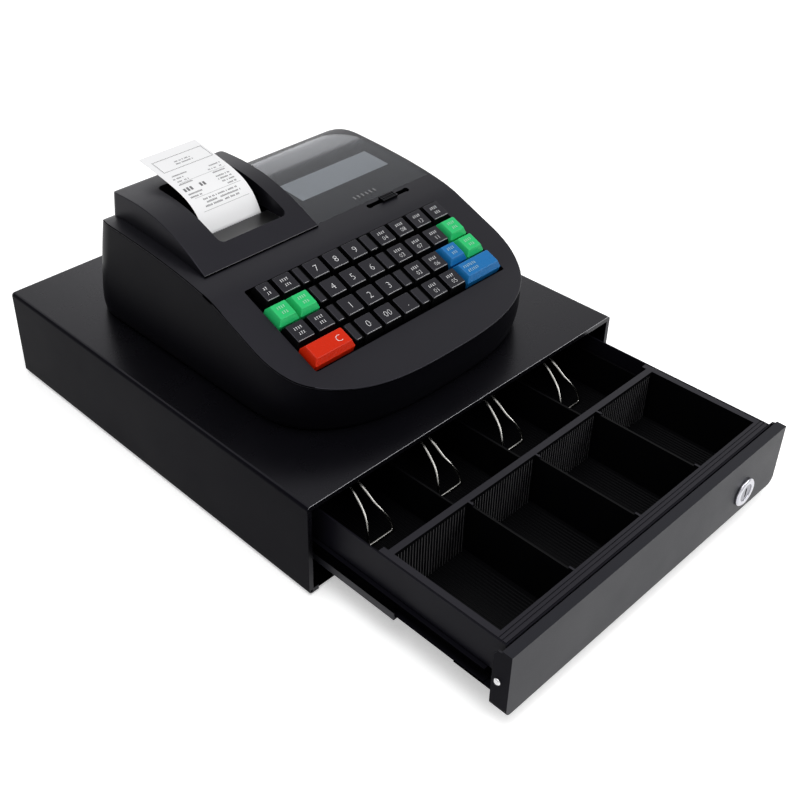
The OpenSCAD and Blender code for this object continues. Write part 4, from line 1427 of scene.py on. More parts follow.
@dataclass
class RegisterBody:
    """The moulded lower housing and the top cover.

    Attributes:
        cover: Thickness of the top cover.
        wall: The housing's wall.
        rim: Rounding of the cover's rim.
        seam: Depth of the shadow line below the rim.
        lens: Plan of the lens's seat: left, front, right, back.
        screen: The display's opening: left, front, right, back.
        keys: The keyboard's opening: left, front, right, and from the slope's end to its back.
        bay: The printer bay: left, front, right, back.
        slot: The mode switch's slot: middle x, middle y, half length, half width.
        slot_end: Radius of the slot's round ends.
        seat_corner: Radius of the seat's rear right corner.
        hinges: Left faces of the printer cover's hinge eyes.
        hinge: The hinge line's y and z.
        hinge_radius: Radius of the hinge's eyes and posts.
        pin: Radius of the hinge's pins.
    """

    cover: float = 3.0
    wall: float = 2.5
    rim: float = 0.7
    seam: float = 1.1
    lens: Quad = (-2.71, 165.847, 122.91, 272.91)
    screen: Quad = (11.7, 197.457, 108.8, 226.857)
    keys: Quad = (-98.9, 0.5, 100.7, 4.0)
    bay: Quad = (-107.4, 178.057, -9.4, 266.357)
    slot: Quad = (70.0, 160.257, 23.0, 2.0)
    slot_end: float = 2.6
    seat_corner: float = 37.96
    hinges: Pair = (-95.4, -29.4)
    hinge: Pair = (281.057, 170.044)
    hinge_radius: float = 2.4
    pin: float = 1.2

    def skin_ring(self, depth: float, inset: float) -> list[Vector]:
        """A ring of the body's skin at a depth below the top face.

        Args:
            depth: How far below the top face.
            inset: How far inside the skin.

        Returns:
            The ring's points.
        """
        points = [SHAPE.spot(i, 120.0, inset) for i in range(SHAPE.COUNT)]
        for _ in range(3):
            points = [
                SHAPE.spot(i, SHAPE.top(y) - depth, inset)
                for i, (_, y) in enumerate(points)
            ]
        return [Vector((x, y, SHAPE.top(y) - depth)) for x, y in points]

    def lower_ring(self, share: float, top: float, inset: float) -> list[Vector]:
        """A ring of the housing between its foot and its upper edge.

        Args:
            share: 0 at the foot and 1 at the upper edge.
            top: Depth of the upper edge below the top face.
            inset: How far inside the skin.

        Returns:
            The ring's points.
        """
        foot = SHAPE.cabinet_top
        ring = self.skin_ring(top, inset)
        points = []
        for i, p in enumerate(ring):
            z = foot + share * (p.z - foot)
            points.append(Vector((*SHAPE.spot(i, z, inset), z)))
        return points

    def housing(self) -> None:
        """Builds the hollow lower housing, all in the duller painted-shade copy of the body
        plastic.
        """
        top = self.cover + 0.1
        shares = (0.0, 0.01, 0.025, 0.05, 0.1, 0.17, 0.25, 0.35, 0.47, 0.6, 0.75, 0.9)
        rings = [self.lower_ring(s, top, 0.0) for s in shares]
        rings += [self.skin_ring(top, 0.0), self.skin_ring(top, self.wall)]
        rings += [self.lower_ring(s, top, self.wall) for s in (0.6, 0.25, 0.0)]
        mesh = bmesh.new()
        loft(mesh, [*rings, rings[0]], cap=False)
        bmesh.ops.remove_doubles(mesh, verts=mesh.verts, dist=1e-4)
        bmesh.ops.recalc_face_normals(mesh, faces=mesh.faces)
        # The whole housing takes the duller painted-shade copy of the body plastic.
        settle(mesh, "housing", Body.BASE, Slot.BODY, [BODY_SIDE_PAINTED_SHADE], "shell")

    def top_cover(self) -> None:
        """Builds the top cover with its openings."""
        mesh, seam = bmesh.new(), self.seam
        rings = [
            self.skin_ring(self.cover, 0.0), self.skin_ring(seam + 0.5, 0.0),
            self.skin_ring(seam + 0.4, 0.6), self.skin_ring(seam + 0.05, 0.6),
            self.skin_ring(seam, 0.0),
        ]
        for c, s in (unit(0), *QUARTER):
            rings.append(self.skin_ring(self.rim * (1 - s), self.rim * (1 - c)))
        loft(mesh, rings, cap=False)
        count = len(rings[0])
        verts = list(mesh.verts)
        levels = cap_levels(0, 400)
        draped_cap(mesh, verts[:count], lambda y: SHAPE.top(y) - self.cover, levels)
        draped_cap(mesh, verts[-count:], SHAPE.top, levels)
        bmesh.ops.recalc_face_normals(mesh, faces=mesh.faces)
        for tool in self.openings():
            mesh = cut(mesh, tool)
        bmesh.ops.remove_doubles(mesh, verts=mesh.verts, dist=1e-3)
        soften(mesh, self.on_rim, 0.4, 2)

        def finish(face: Face) -> int:
            """Tells the flank, the shadow line and the lens's seat from the rest: the flank takes
            the duller painted-shade copy, and the shadow line's groove, the seat and the rim's
            left-facing rounding are near-black painted shade.

            Args:
                face: The face.

            Returns:
                The number of its finish.
            """
            middle = face.calc_center_median()
            depth = SHAPE.top(middle.y) - middle.z
            # The groove of the shadow line, the lens's seat and the rim's left-facing rounding are
            # near-black painted shade; the side below the groove takes the duller painted-shade
            # copy.
            if face.normal.z < 0.3 and seam - 0.1 < depth < self.cover + 0.1:
                return 2 if depth < seam + 0.5 else 1
            seat = face.normal.z > 0.5 and 1.3 < depth < 1.9
            left_rim = face.normal.x < -0.3 and face.normal.z < 0.97 and depth < self.rim + 0.1
            return 2 if seat or left_rim else 0

        paint(mesh, finish)
        self.hinge_posts(mesh)
        settle(mesh, "top_cover", Body.BASE, Slot.BODY,
               [BODY_PLASTIC, BODY_SIDE_PAINTED_SHADE, PAINTED_SHADE], "shell")

    def on_rim(self, edge: Edge) -> bool:
        """Says whether an edge is the upper rim of an opening.

        Args:
            edge: The edge.

        Returns:
            Whether it is.
        """
        if edge.calc_face_angle(0) < 0.9:
            return False
        left, front = self.lens[:2]
        if all(v.co.x > left - 0.1 and v.co.y > front - 0.1 for v in edge.verts):
            return False  # the lens's seat stays sharp
        return all(abs(v.co.z - SHAPE.top(v.co.y)) < 0.08 for v in edge.verts)

    def openings(self) -> list[Mesh]:
        """Builds the tools that cut the cover's openings.

        Returns:
            The keyboard's, the printer bay's, the lens seat's, the display's and the switch's.
        """
        tools = []
        keys = bmesh.new()
        left, front, right, back = self.keys
        outline = rounded(left, front, right, SHAPE.keys_length - back, 1.6, 4)
        slab(keys, outline, top_view, -20, 20)
        keys.transform(SHAPE.on_keys())
        tools.append(keys)
        bay = bmesh.new()
        slab(bay, rounded(*self.bay, 2.0, 3), top_view, 100, 220)
        tools.append(bay)
        left, front, right, back = self.lens
        outline = rounded(left, front, right, back, (1.6, 1.0, self.seat_corner, 0.6), 12)
        seat = draped_plate(outline, lambda y: SHAPE.top(y) + 6, lambda y: SHAPE.top(y) - 1.6)
        tools.append(seat)
        screen = bmesh.new()
        slab(screen, rounded(*self.screen, 1.0, 3), top_view, 120, 220)
        tools.append(screen)
        x, y, half_x, half_y = self.slot
        slot = bmesh.new()
        slab(slot, rounded(-half_x, -half_y, half_x, half_y, 1.0, 4), top_view, -6, 3)
        ends = bmesh.new()
        for end in (-half_x + 2.4, half_x - 2.4):
            rod(ends, (end, 0, -6), (end, 0, 3), self.slot_end, 24)
        slot = cut(slot, ends, "UNION")
        slot.transform(SHAPE.on_crown(x, y))
        tools.append(slot)
        return tools

    def hinge_posts(self, mesh: Mesh) -> None:
        """Adds the posts and pins of the printer cover's hinge.

        Args:
            mesh: The top cover's mesh.
        """
        y, z = self.hinge
        r = self.hinge_radius
        for x in self.hinges:
            for left in (x - 3.3, x + 8.3):
                rod(mesh, (left, y, z), (left + 3, y, z), r)
                box(mesh, (left, y - r, SHAPE.top(y + r) - 2.6), (left + 3, y + r, z))
            rod(mesh, (x - 1, y, z), (x + 9, y, z), self.pin)

    def build(self) -> None:
        """Builds and dresses both pieces."""
        self.housing()
        self.top_cover()


# ---- keyboard ----


class KeyTint(Enum):
    """Colours of the keys."""

    BLACK = (KEY_BLACK, Slot.KEY_BLACK)
    GREEN = (KEY_GREEN, Slot.KEY_GREEN)
    BLUE = (KEY_BLUE, Slot.KEY_BLUE)
    RED = (KEY_RED, Slot.KEY_RED)


@dataclass(frozen=True)
class Key:
    """One key of the keyboard.

    Attributes:
        node: Its solid's name.
        column: Its column, from the left.
        row: Its row, from the back.
        legend: Plain figures on its cap.
        tint: Its colour.
        cells: How many cells it spans.
        size: The figures' size.
        style: "digit" for one large figure, "marks" for rows of small marks.
        marks: How many small marks the upper row has.
    """

    node: str
    column: int
    row: int
    legend: str = ""
    tint: KeyTint = KeyTint.BLACK
    cells: int = 1
    size: float = 8.4
    style: str = "digit"
    marks: int = 4


def key_list() -> list[Key]:
    """The keyboard's keys, row by row from the back.

    Returns:
        All 34 keys.
    """
    table = (
        "feed void 7 8 9 d4 d8 d12 rate", "refund paid_out 4 5 6 d3 d7 d11 charge",
        "clerk times 1 2 3 d2 d6 subtotal check", "clear - 0 00 point d1 d5 total",
    )
    tints = dict.fromkeys(("refund", "paid_out", "charge", "check"), KeyTint.GREEN)
    tints |= {"subtotal": KeyTint.BLUE, "total": KeyTint.BLUE, "clear": KeyTint.RED}
    legends = {"clear": "C", "point": "."}
    legends |= {f"d{k}": f"{k:02d}" for k in range(1, 13)}
    special = {
        "feed": {"marks": 2}, "total": {"marks": 7, "cells": 2}, "clear": {"cells": 2},
        "00": {"size": 7.5},
    }
    keys = []
    for row, names in enumerate(table):
        for column, name in enumerate(names.split()):
            legend = legends.get(name, name if name.isdigit() else "")
            small = len(legend) == 2 and name != "00"
            more = {"size": 5.4} if small else {}
            if small or not legend:
                more["style"] = "marks"
            more |= special.get(name, {})
            tint = tints.get(name, KeyTint.BLACK)
            if name != "-":
                keys.append(Key(f"key_{name}", column, row, legend, tint, **more))
    return keys


@dataclass
class Keyboard(Section):
    """The keys, their frame with blank fillers, and the board below them.

    Attributes:
        half: Half of the keyboard's width.
        middle: The keyboard's middle.
        gap: Room between two caps.
        gap_left: Extra room beside the second column.
        gap_right: Extra room beside the fifth column.
        rise: How far the caps stand above the keyboard's face.
        tall: Extra height of the coloured caps.
        base: The caps' lower edge.
        board: The circuit board's face.
        stem: Width of a key's stem.
        corner: Radius of the caps' upright edges.
        folds: Rounding of the top edges of plain and of tall caps.
        tapers: How far the sides of plain and of tall caps draw in.
        bevel: Height of the caps' sloping sides.
        filler_drop: How far the fillers lie below the caps.
        filler_taper: How far the fillers' sides draw in.
        legend_lift: From a cap's face to its figures.
        mark_pitch: Pitch of the small printed marks.
        mark_upright: Width and height of a mark's upright.
        mark_bar: Width and height of a mark's bar.
        mark_reach: From a mark's middle to its bar.
    """

    half: float = 99.0
    middle: float = 0.9
    gap: float = 1.4
    gap_left: float = 9.1
    gap_right: float = 10.7
    rise: float = 4.2
    tall: float = 1.6
    base: float = -4.6
    board: float = -15.0
    stem: float = 5.0
    corner: float = 0.9
    folds: Pair = (0.5, 0.9)
    tapers: Pair = (1.35, 1.9)
    bevel: float = 4.6
    filler_drop: float = 0.7
    filler_taper: float = 0.8
    legend_lift: float = 0.03
    mark_pitch: float = 1.95
    mark_upright: Pair = (0.42, 2.3)
    mark_bar: Pair = (1.1, 0.4)
    mark_reach: float = 0.95

    def column(self, index: float) -> float:
        """Middle of a column."""
        extra = (self.gap_left if index >= 2 else 0) + (self.gap_right if index >= 5 else 0)
        return self.middle - self.half + (index + 0.5) * SHAPE.key_pitch + extra

    def row(self, index: int) -> float:
        """Middle of a row, up the keyboard's slope."""
        return (3.5 - index) * SHAPE.key_pitch + 2.8

    def cap(self, mesh: Mesh, middle: Pair, size: Pair,
            height: float, taper: float, tall: bool) -> None:
        """Adds a key cap with a tapered upper part and rounded edges.

        Args:
            mesh: The mesh that takes it.
            middle: Its middle in the keyboard's plane.
            size: Its width and depth.
            height: Its top face's height.
            taper: How far its sides draw in at the top.
            tall: Whether it is one of the tall caps with broad bevels.
        """
        fold = self.folds[tall]
        levels = [(self.base, 0.0), (height - self.bevel, 0.0), (height - fold, taper - 0.05)]
        for c, s in QUARTER:
            levels.append((height - fold * (1 - s), taper + fold * (1 - c)))
        made = loft(mesh, [self.cap_ring(middle, size, pull, z) for z, pull in levels])
        # Plain caps: the sides take the painted shade and the front bevel the painted highlight.
        if not tall:
            for face in made:
                if face.normal.z < 0.5:
                    face.material_index = 2
                elif face.normal.y < -0.4 and abs(face.normal.x) < 0.3:
                    face.material_index = 4

    def cap_ring(self, middle: Pair, size: Pair, pull: float, z: float) -> list[Vector]:
        """One ring of a key cap.

        Args:
            middle: Its middle in the keyboard's plane.
            size: The cap's width and depth.
            pull: How far the sides draw in.
            z: Its height.

        Returns:
            The ring's points.
        """
        (x, v), w, d = middle, size[0] / 2, size[1] / 2
        outline = rounded(
            x - w + pull, v - d + pull * 1.5, x + w - pull, v + d - pull, self.corner, 3
        )
        return [Vector((px, py, z)) for px, py in outline]

    def key(self, key: Key) -> None:
        """Builds one key.

        Args:
            key: The key.
        """
        tall = key.tint is not KeyTint.BLACK
        finish, slot = key.tint.value
        x = self.column(key.column) + (key.cells - 1) * SHAPE.key_pitch / 2
        v = self.row(key.row)
        width = SHAPE.key_pitch * key.cells - self.gap
        if key.node == "key_feed":
            x, width = x + 2, width - 4
        depth = SHAPE.key_pitch - self.gap
        height = self.rise + (self.tall if tall else 0)
        mesh = bmesh.new()
        self.cap(mesh, (x, v), (width, depth), height, self.tapers[tall], tall)
        half = self.stem / 2
        box(mesh, (x - half, v - half, self.board + 3.4), (x + half, v + half, self.base + 1))
        self.legend(mesh, key, x, v, height + self.legend_lift)
        mesh.transform(SHAPE.on_keys())
        inks_and_painted_light = [finish, WHITE_INK, KEY_SIDE_PAINTED_SHADE, PALE_INK, KEY_EDGE_PAINTED_HIGHLIGHT]
        settle(mesh, key.node, key.node, slot, inks_and_painted_light, "cap")

    def legend(self, mesh: Mesh, key: Key, x: float, v: float, z: float) -> None:
        """Prints a key's figures and its rows of small plain marks.

        Args:
            mesh: The key's mesh.
            key: The key.
            x: Its middle.
            v: Its middle up the slope.
            z: The cap's face.
        """
        if key.node == "key_clear":
            x += 9
        if key.style == "digit":
            print_on(mesh, key.legend, key.size, Matrix.Translation((x, v - 0.3, z)), 1)
            return
        ink = 3 if key.tint is not KeyTint.BLACK else 1
        if key.node == "key_total":
            x -= 8
        self.marks(mesh, (x - 0.2, v + 2.9), key.marks, z, ink)
        if key.legend:
            print_on(mesh, key.legend, key.size, Matrix.Translation((x, v - 2.6, z)), ink)
        else:
            self.marks(mesh, (x, v - 1.8), max(2, key.marks - 1), z, ink)

    def marks(self, mesh: Mesh, middle: Pair, count: int, z: float, index: int) -> None:
        """Adds a row of small upright printed marks.

        Args:
            mesh: The key's mesh.
            middle: The row's middle.
            count: How many marks.
            z: The cap's face.
            index: The material index of the ink.
        """
        x, v = middle
        for k in range(count):
            place = Matrix.Translation((x + (k - (count - 1) / 2) * self.mark_pitch, v, z))
            up = self.mark_reach if k % 2 else -self.mark_reach
            patch(mesh, place, *self.mark_upright, index)
            patch(mesh, place @ Matrix.Translation((0, up, 0)), *self.mark_bar, index)

    def frame_piece(self) -> None:
        """Builds the key frame with its blank fillers, the frame all in the keys' painted shade.
        """
        mesh = self.merged("key_frame")
        # The whole frame is in the keys' painted shade.
        paint(mesh, lambda face: 2)
        mesh.transform(SHAPE.on_keys().inverted())
        depth = SHAPE.key_pitch - self.gap - 1.6
        for index in range(4):
            for column, gap in ((1, self.gap_left), (4, self.gap_right)):
                x = (self.column(column) + self.column(column + 1)) / 2
                middle = (x, self.row(index) + 0.3)
                height = self.rise - self.filler_drop
                self.cap(mesh, middle, (gap - 1.6, depth), height, self.filler_taper, False)
        mesh.transform(SHAPE.on_keys())
        settle(mesh, "key_frame", Body.BASE, Slot.KEY_BLACK,
               [KEY_BLACK, WHITE_INK, KEY_SIDE_PAINTED_SHADE, PALE_INK, KEY_EDGE_PAINTED_HIGHLIGHT])

    def build(self) -> None:
        """Builds and dresses the keyboard."""
        self.frame_piece()
        self.refine("circuit_board", Body.BASE, Slot.BOARD, [BOARD_GREEN], 0.2, 1)
        for key in key_list():
            self.key(key)


# ---- printer ----


@dataclass
class Printer(Section):
    """The receipt printer: arched cover, tear-off window, frame, roll and printed strip.

    Attributes:
        left: The cover's left side.
        right: The cover's right side.
        depth: The cover's depth.
        rise: Height of the arch above the cover's front edge.
        peak: From the front to the highest line.
        lean: How far the sides lean in.
        wall: The cover's wall.
        edge: Rounding of the arch's side edges.
        lip: Height of the front edge's upright face.
        rear: Rounding of the back's vertical corners.
        brow: Depth of the solid part behind the front edge.
        mouth: The paper opening: left, front, right, back.
        corner: Radius of the opening's corners.
        well: Wall of the well below the opening.
        tear: The tear-off edge's y.
        tooth: Pitch of the tear-off edge's teeth.
        fit: Room round the tear-off window.
        paper: Middle of the paper.
        paper_width: Width of the paper.
        roll_radius: Radius of the full roll.
        core: The core's outer, stepped and inner radius.
        roll: The roll's y and z.
        rows: The strip's rows of small marks: distance from its upper end, start and end.
    """

    left: float = -113.4
    right: float = -3.4
    depth: float = 115.6
    rise: float = 27.1
    peak: float = 90.0
    lean: float = 2.6
    wall: float = 2.5
    edge: float = 0.6
    lip: float = 1.1
    rear: float = 6.0
    brow: float = 14.0
    corner: float = 5.0
    well: float = 1.6
    mouth: Quad = (-84.5, 179.957, -19.5, 256.757)
    tear: float = 204.257
    tooth: float = 2.2
    fit: float = 0.15
    paper: float = -52.8
    paper_width: float = 54.5
    roll_radius: float = 23.0
    core: Point = (8.6, 8.2, 5.6)
    roll: Pair = (229.757, 129.804)
    rows: tuple[tuple[float, float, float], ...] = (
        (18.0, 21.0, 37.5), (21.4, 20.5, 36.5), (33.6, 6.0, 21.0), (36.8, 38.0, 50.0),
        (37.4, 5.5, 15.0), (40.6, 36.5, 49.0), (41.2, 5.5, 17.5), (45.0, 5.2, 18.0),
        (45.6, 36.0, 48.0), (50.5, 36.5, 48.5), (53.8, 36.0, 48.6), (57.0, 37.5, 48.6),
        (57.4, 4.8, 17.5), (60.4, 38.0, 48.6), (60.6, 4.5, 15.0), (65.8, 12.5, 44.5),
        (68.8, 14.0, 46.0), (71.8, 11.0, 42.5),
    )

    @property
    def front(self) -> float:
        """The cover's front edge."""
        return SHAPE.lid_front

    @property
    def back(self) -> float:
        """The cover's back face."""
        return self.front + self.depth

    @property
    def seat(self) -> float:
        """Height of the cover's front edge."""
        return SHAPE.height(self.front) + 0.4

    @property
    def sides(self) -> Pair:
        """Left and right edge of the paper."""
        return (self.paper - self.paper_width / 2, self.paper + self.paper_width / 2)

    @property
    def window(self) -> float:
        """Height of the tear-off window's face."""
        return self.seat + 4.6

    def arch(self, y: float) -> float:
        """Height of the cover's top face at y.

        Args:
            y: The place, back from the cabinet's front edge.

        Returns:
            The height.
        """
        d = y - self.front
        u = min(1.0, d / self.peak)
        z = self.seat + self.rise * (1 - (1 - u) ** 2.15)
        z += self.lip * math.exp(-d / 5)
        if d > self.peak:
            z -= 0.0018 * (d - self.peak) ** 2
        return z

    def section(self, y: float, pull: float, drop: float,
                low: float | None = None) -> list[Vector]:
        """A ring across the cover.

        Args:
            y: Its place.
            pull: How far its sides draw in.
            drop: How far its top lies below the arch.
            low: Its lower edge, if it isn't the body's face.

        Returns:
            The ring's points, from the lower left corner over the top to the lower right one.
        """
        top = self.arch(y) - drop
        bottom = SHAPE.height(y) + 0.3 if low is None else low
        left, right = self.left + pull, self.right - pull

        def side(z: float) -> float:
            """How far the side leans in at z."""
            return self.lean * max(0.0, (z - self.seat - 1) / (self.rise + 1))

        r = min(self.edge, 0.45 * max(0.05, top - bottom))
        heights = (bottom, bottom + (top - r - bottom) / 2, top - r)
        half = [Vector((left + side(z), y, z)) for z in heights]
        for c, s in QUARTER:
            half.append(Vector((left + side(top) + r * (1 - c), y, top - r * (1 - s))))
        start, wide = left + side(top) + r, right - left - 2 * side(top) - 2 * r
        middle = [Vector((start + wide * k / 12, y, top)) for k in range(1, 12)]
        mirrored = [Vector((left + right - p.x, p.y, p.z)) for p in reversed(half)]
        return half + middle + mirrored

    def shell(self) -> Mesh:
        """Builds the hollow arched cover with its paper opening.

        Returns:
            The cover's mesh.
        """
        ys = [self.front + d for d in (0.45, 1.5, *range(3, 22, 2))]
        ys += [self.front + 21 + 4 * k for k in range(1, 23)]
        rings = [self.section(self.front, 0.0, 0.45), self.section(self.front + 0.13, 0.0, 0.13)]
        rings += [self.section(y, 0.0, 0.0) for y in ys if y < self.back - self.rear]
        for c, s in map(unit, range(0, 91, 15)):
            y = self.back - self.rear * (1 - s)
            rings.append(self.section(y, self.rear * (1 - c), 2.2 * (1 - c)))
        outer, inner, well, low, body, mouth = (bmesh.new() for _ in range(6))
        loft(outer, rings)
        run = self.depth - self.brow - self.wall
        loft(inner, [
            self.section(self.front + self.brow + run * k / 20, self.wall,
                         self.wall + (1.5 if k == 20 else 0), self.seat - 20)
            for k in range(21)
        ])
        left, front, right, back = self.mouth
        out = self.well
        outline = rounded(left - out, front - out, right + out, back + out, self.corner + out, 8)
        slab(well, outline, top_view, self.seat - 0.2, 230)
        outline = rounded(left - 3, self.tear + 10, right + 3, back + 6, 0.5, 2)
        slab(low, outline, top_view, 100, self.seat + 14)
        inside = [y for y in ys if self.front + 8 < y < self.back - self.rear]
        loft(body, [self.section(y, 0.4, 0.25) for y in inside])
        well = cut(cut(well, low), body, "INTERSECT")
        slab(mouth, rounded(*self.mouth, self.corner, 8), top_view, self.window - 1.6, 230)
        return cut(cut(cut(outer, inner), well, "UNION"), mouth)

    def cover(self) -> None:
        """Builds and dresses the cover."""
        mesh = self.shell()
        bmesh.ops.remove_doubles(mesh, verts=mesh.verts, dist=1e-3)
        left, front, right, back = self.mouth

        def on_mouth(edge: Edge) -> bool:
            """Says whether an edge is the paper opening's rim.

            Args:
                edge: The edge.

            Returns:
                Whether it is.
            """
            return edge.calc_face_angle(0) > 0.9 and all(
                abs(v.co.z - self.arch(v.co.y)) < 0.3 and left - 0.1 < v.co.x < right + 0.1
                and front - 0.1 < v.co.y < back + 0.1 for v in edge.verts
            )

        def finish(face: Face) -> int:
            """Tells the front edge, the flanks and the front edge's lip from the rest: the front
            edge's upright face is painted shadow, the flanks take a painted-shading copy of the
            plastic, and the lip a painted highlight.

            Args:
                face: The face.

            Returns:
                The number of its finish.
            """
            normal, y = face.normal, face.calc_center_median().y
            # The front edge's upright face is painted shadow, the lip above it a painted
            # highlight.
            if normal.y < -0.8 and y < self.front + 0.3:
                return 1
            if abs(normal.x) > 0.9 or normal.z < -0.5:
                return 2
            return 3 if normal.y < -0.55 and y < self.front + 0.7 else 0

        soften(mesh, on_mouth, 0.7, 3)
        self.ledge(mesh)
        self.hinge_eyes(mesh)
        paint(mesh, finish)
        settle(mesh, "printer_cover", Body.LID, Slot.BODY,
               [BODY_PLASTIC, PAINTED_SHADE, BODY_FLANK_PAINTED_SHADING, LIP_PAINTED_HIGHLIGHT], "shell")

    def ledge(self, mesh: Mesh) -> None:
        """Adds the ledge that carries the tear-off window.

        Args:
            mesh: The cover's mesh.
        """
        left, front, right, _ = self.mouth
        low, high = self.window - 4, self.window - 1.62
        for x in (left - 0.5, right - 3):
            box(mesh, (x, front - 0.5, low), (x + 3.5, self.tear - 3, high))
        box(mesh, (left + 2, front - 0.5, low), (right - 2, front + 4, high - 0.01))

    def hinge_eyes(self, mesh: Mesh) -> None:
        """Adds the two eyes that turn on the body's pins.

        Args:
            mesh: The cover's mesh.
        """
        (y, z), r = BODY.hinge, BODY.hinge_radius
        for x in BODY.hinges:
            eye, bore = bmesh.new(), bmesh.new()
            rod(eye, (x, y, z), (x + 8, y, z), r)
            box(eye, (x, self.back - 1, z - r), (x + 8, y, z + r))
            rod(bore, (x - 1, y, z), (x + 9, y, z), BODY.pin + 0.05)
            join(mesh, cut(eye, bore))

    def tear_window(self) -> None:
        """Builds the smoked tear-off window with its teeth."""
        left, front, right, _ = self.mouth
        low, high = left + self.fit, right - self.fit
        plate = rounded(low, front + self.fit, high, self.tear + 6, (5, 5, 1, 1), 8)
        plate = [p for p in plate if p[1] < front + 6]
        middle = 0.5 * (left + right)
        pitch, start = self.tooth, right - 2
        count = int((right - left - 4) / pitch)
        teeth = []
        for k in range(count):
            teeth += [(start - k * pitch, self.tear), (start - (k + 0.5) * pitch, self.tear - 1.1)]
        teeth.append((start - count * pitch, self.tear))
        outline = [
            *(p for p in plate if p[0] < middle), *(p for p in plate if p[0] >= middle),
            (high, self.tear), *teeth, (low, self.tear),
        ]
        mesh = bmesh.new()
        slab(mesh, outline, top_view, self.window - 1.6, self.window, 0.12, 1)
        settle(mesh, "tear_window", Body.LID, Slot.WINDOW, [WINDOW_SMOKE], "plate")

    def paper_roll(self) -> None:
        """Builds the paper roll on its core."""
        y, z = self.roll
        mesh = bmesh.new()
        left, right = self.sides
        full, (core, step, bore) = self.roll_radius, self.core
        radii = [
            (full, left), (full, right), (core, right), (step, right - 0.6),
            (bore, right - 0.6), (bore, left + 0.6), (step, left + 0.6), (core, left),
        ]
        rings = []
        for r, x in [*radii, radii[0]]:
            rings.append([
                Vector((x, y + r * math.cos(t), z + r * math.sin(t)))
                for t in (math.tau * k / 72 for k in range(72))
            ])
        loft(mesh, rings, cap=False)
        bmesh.ops.remove_doubles(mesh, verts=mesh.verts, dist=1e-4)
        bmesh.ops.recalc_face_normals(mesh, faces=mesh.faces)
        settle(mesh, "paper_roll", Body.ROLL, Slot.PAPER, [PAPER_WHITE], "wound")

    def strip(self, t: float) -> Pair:
        """A point (y, z) of the paper strip, t past the tear-off edge."""
        return (self.tear + 0.3 + t, self.window + 22.2 * (1 - math.exp(-t / 10.5)) + t * 0.16)

    def receipt(self) -> None:
        """Builds the printed strip that stands out of the mouth."""
        ts = [0.0]
        while ts[-1] < 79:
            ts.append(min(79.0, ts[-1] + (0.8 if ts[-1] < 16 else 2.5)))
        line = [(self.tear + 0.3, self.window - 6)] + [self.strip(t) for t in ts]
        left, right = self.sides
        mesh = bmesh.new()
        rings = []
        for i, (y, z) in enumerate(line):
            ahead = Vector(line[min(i + 1, len(line) - 1)]) - Vector(line[max(i - 1, 0)])
            out = Vector((ahead.y, -ahead.x)).normalized() * 0.16
            rings.append([
                Vector((left, y, z)), Vector((right, y, z)),
                Vector((right, y + out.x, z + out.y)), Vector((left, y + out.x, z + out.y)),
            ])
        loft(mesh, rings)
        self.printing(mesh, line)
        settle(mesh, "receipt", Body.LID, Slot.PAPER,
               [PAPER_WHITE, GREY_INK, DARK_INK, GREY_INK], "strip")

    def printing(self, mesh: Mesh, line: Sequence[Pair]) -> None:
        """Adds rows of small plain printed marks to the strip's upper face.

        Args:
            mesh: The strip's mesh.
            line: The strip's side view.
        """
        rng = random.Random(7)
        lengths = [0.0]
        for p, q in zip(line, line[1:]):
            lengths.append(lengths[-1] + (Vector(q) - Vector(p)).length)

        def at(s: float) -> Vector:
            """The point of the strip at a length along it.

            Args:
                s: The length.

            Returns:
                Its y and z, just above the paper.
            """
            k = next(i for i in range(1, len(lengths)) if s <= lengths[i] or i == len(lengths) - 1)
            f = (s - lengths[k - 1]) / (lengths[k] - lengths[k - 1])
            p = Vector(line[k - 1]).lerp(Vector(line[k]), f)
            ahead = (Vector(line[k]) - Vector(line[k - 1])).normalized()
            return p + Vector((-ahead.y, ahead.x)) * 0.07

        def mark(x: float, s: float, w: float, h: float, index: int = 1) -> None:
            """Adds one mark.

            Args:
                x: Its left side.
                s: Its start along the strip.
                w: Its width.
                h: Its length.
                index: The material index of its faces.
            """
            pieces = math.ceil(h / 0.8)
            for k in range(pieces):
                p, q = at(s + h * k / pieces), at(s + h * (k + 1) / pieces)
                corners = ((x, p), (x + w, p), (x + w, q), (x, q))
                face = mesh.faces.new([mesh.verts.new((px, r.x, r.y)) for px, r in corners])
                face.material_index = index
                face.normal_update()

        total = lengths[-1]
        left, _ = self.sides

        def row(down: float, start: float, end: float, size: float = 1.5, index: int = 1) -> None:
            """Adds a row of marks, a distance down from the strip's upper end.

            Args:
                down: The distance.
                start: Its start, from the strip's left edge.
                end: Its end, from the strip's left edge.
                size: Height of the marks.
                index: The material index of the ink.
            """
            x = start
            while x < end:
                if rng.random() > 0.16:
                    mark(left + x, total - down, size * 0.46, size * rng.uniform(0.8, 1.05), index)
                x += size * 0.72

        for down in (10.4, 26.0):
            for k in range(37):
                mark(left + 5 + 1.3 * k, total - down, 0.75, 0.7, 2)
        for k in range(1, 12):
            for x in (5.0, 51.8):
                mark(left + x, total - 10.4 - 1.3 * k, 0.75, 0.7, 2)
        for down, start, end in self.rows:
            row(down, start, end)
        row(53.3, 4.5, 24.5, 4.2, 3)
        for down in (42.8, 62.0, 74.6):
            mark(left + 7, total - down, 44, 0.22)

    def build(self) -> None:
        """Builds and dresses the printer."""
        self.refine("printer_frame", Body.BASE, Slot.TRAY, [TRAY_PLASTIC], 0.35)
        self.cover()
        self.tear_window()
        self.paper_roll()
        self.receipt()


# ---- display ----


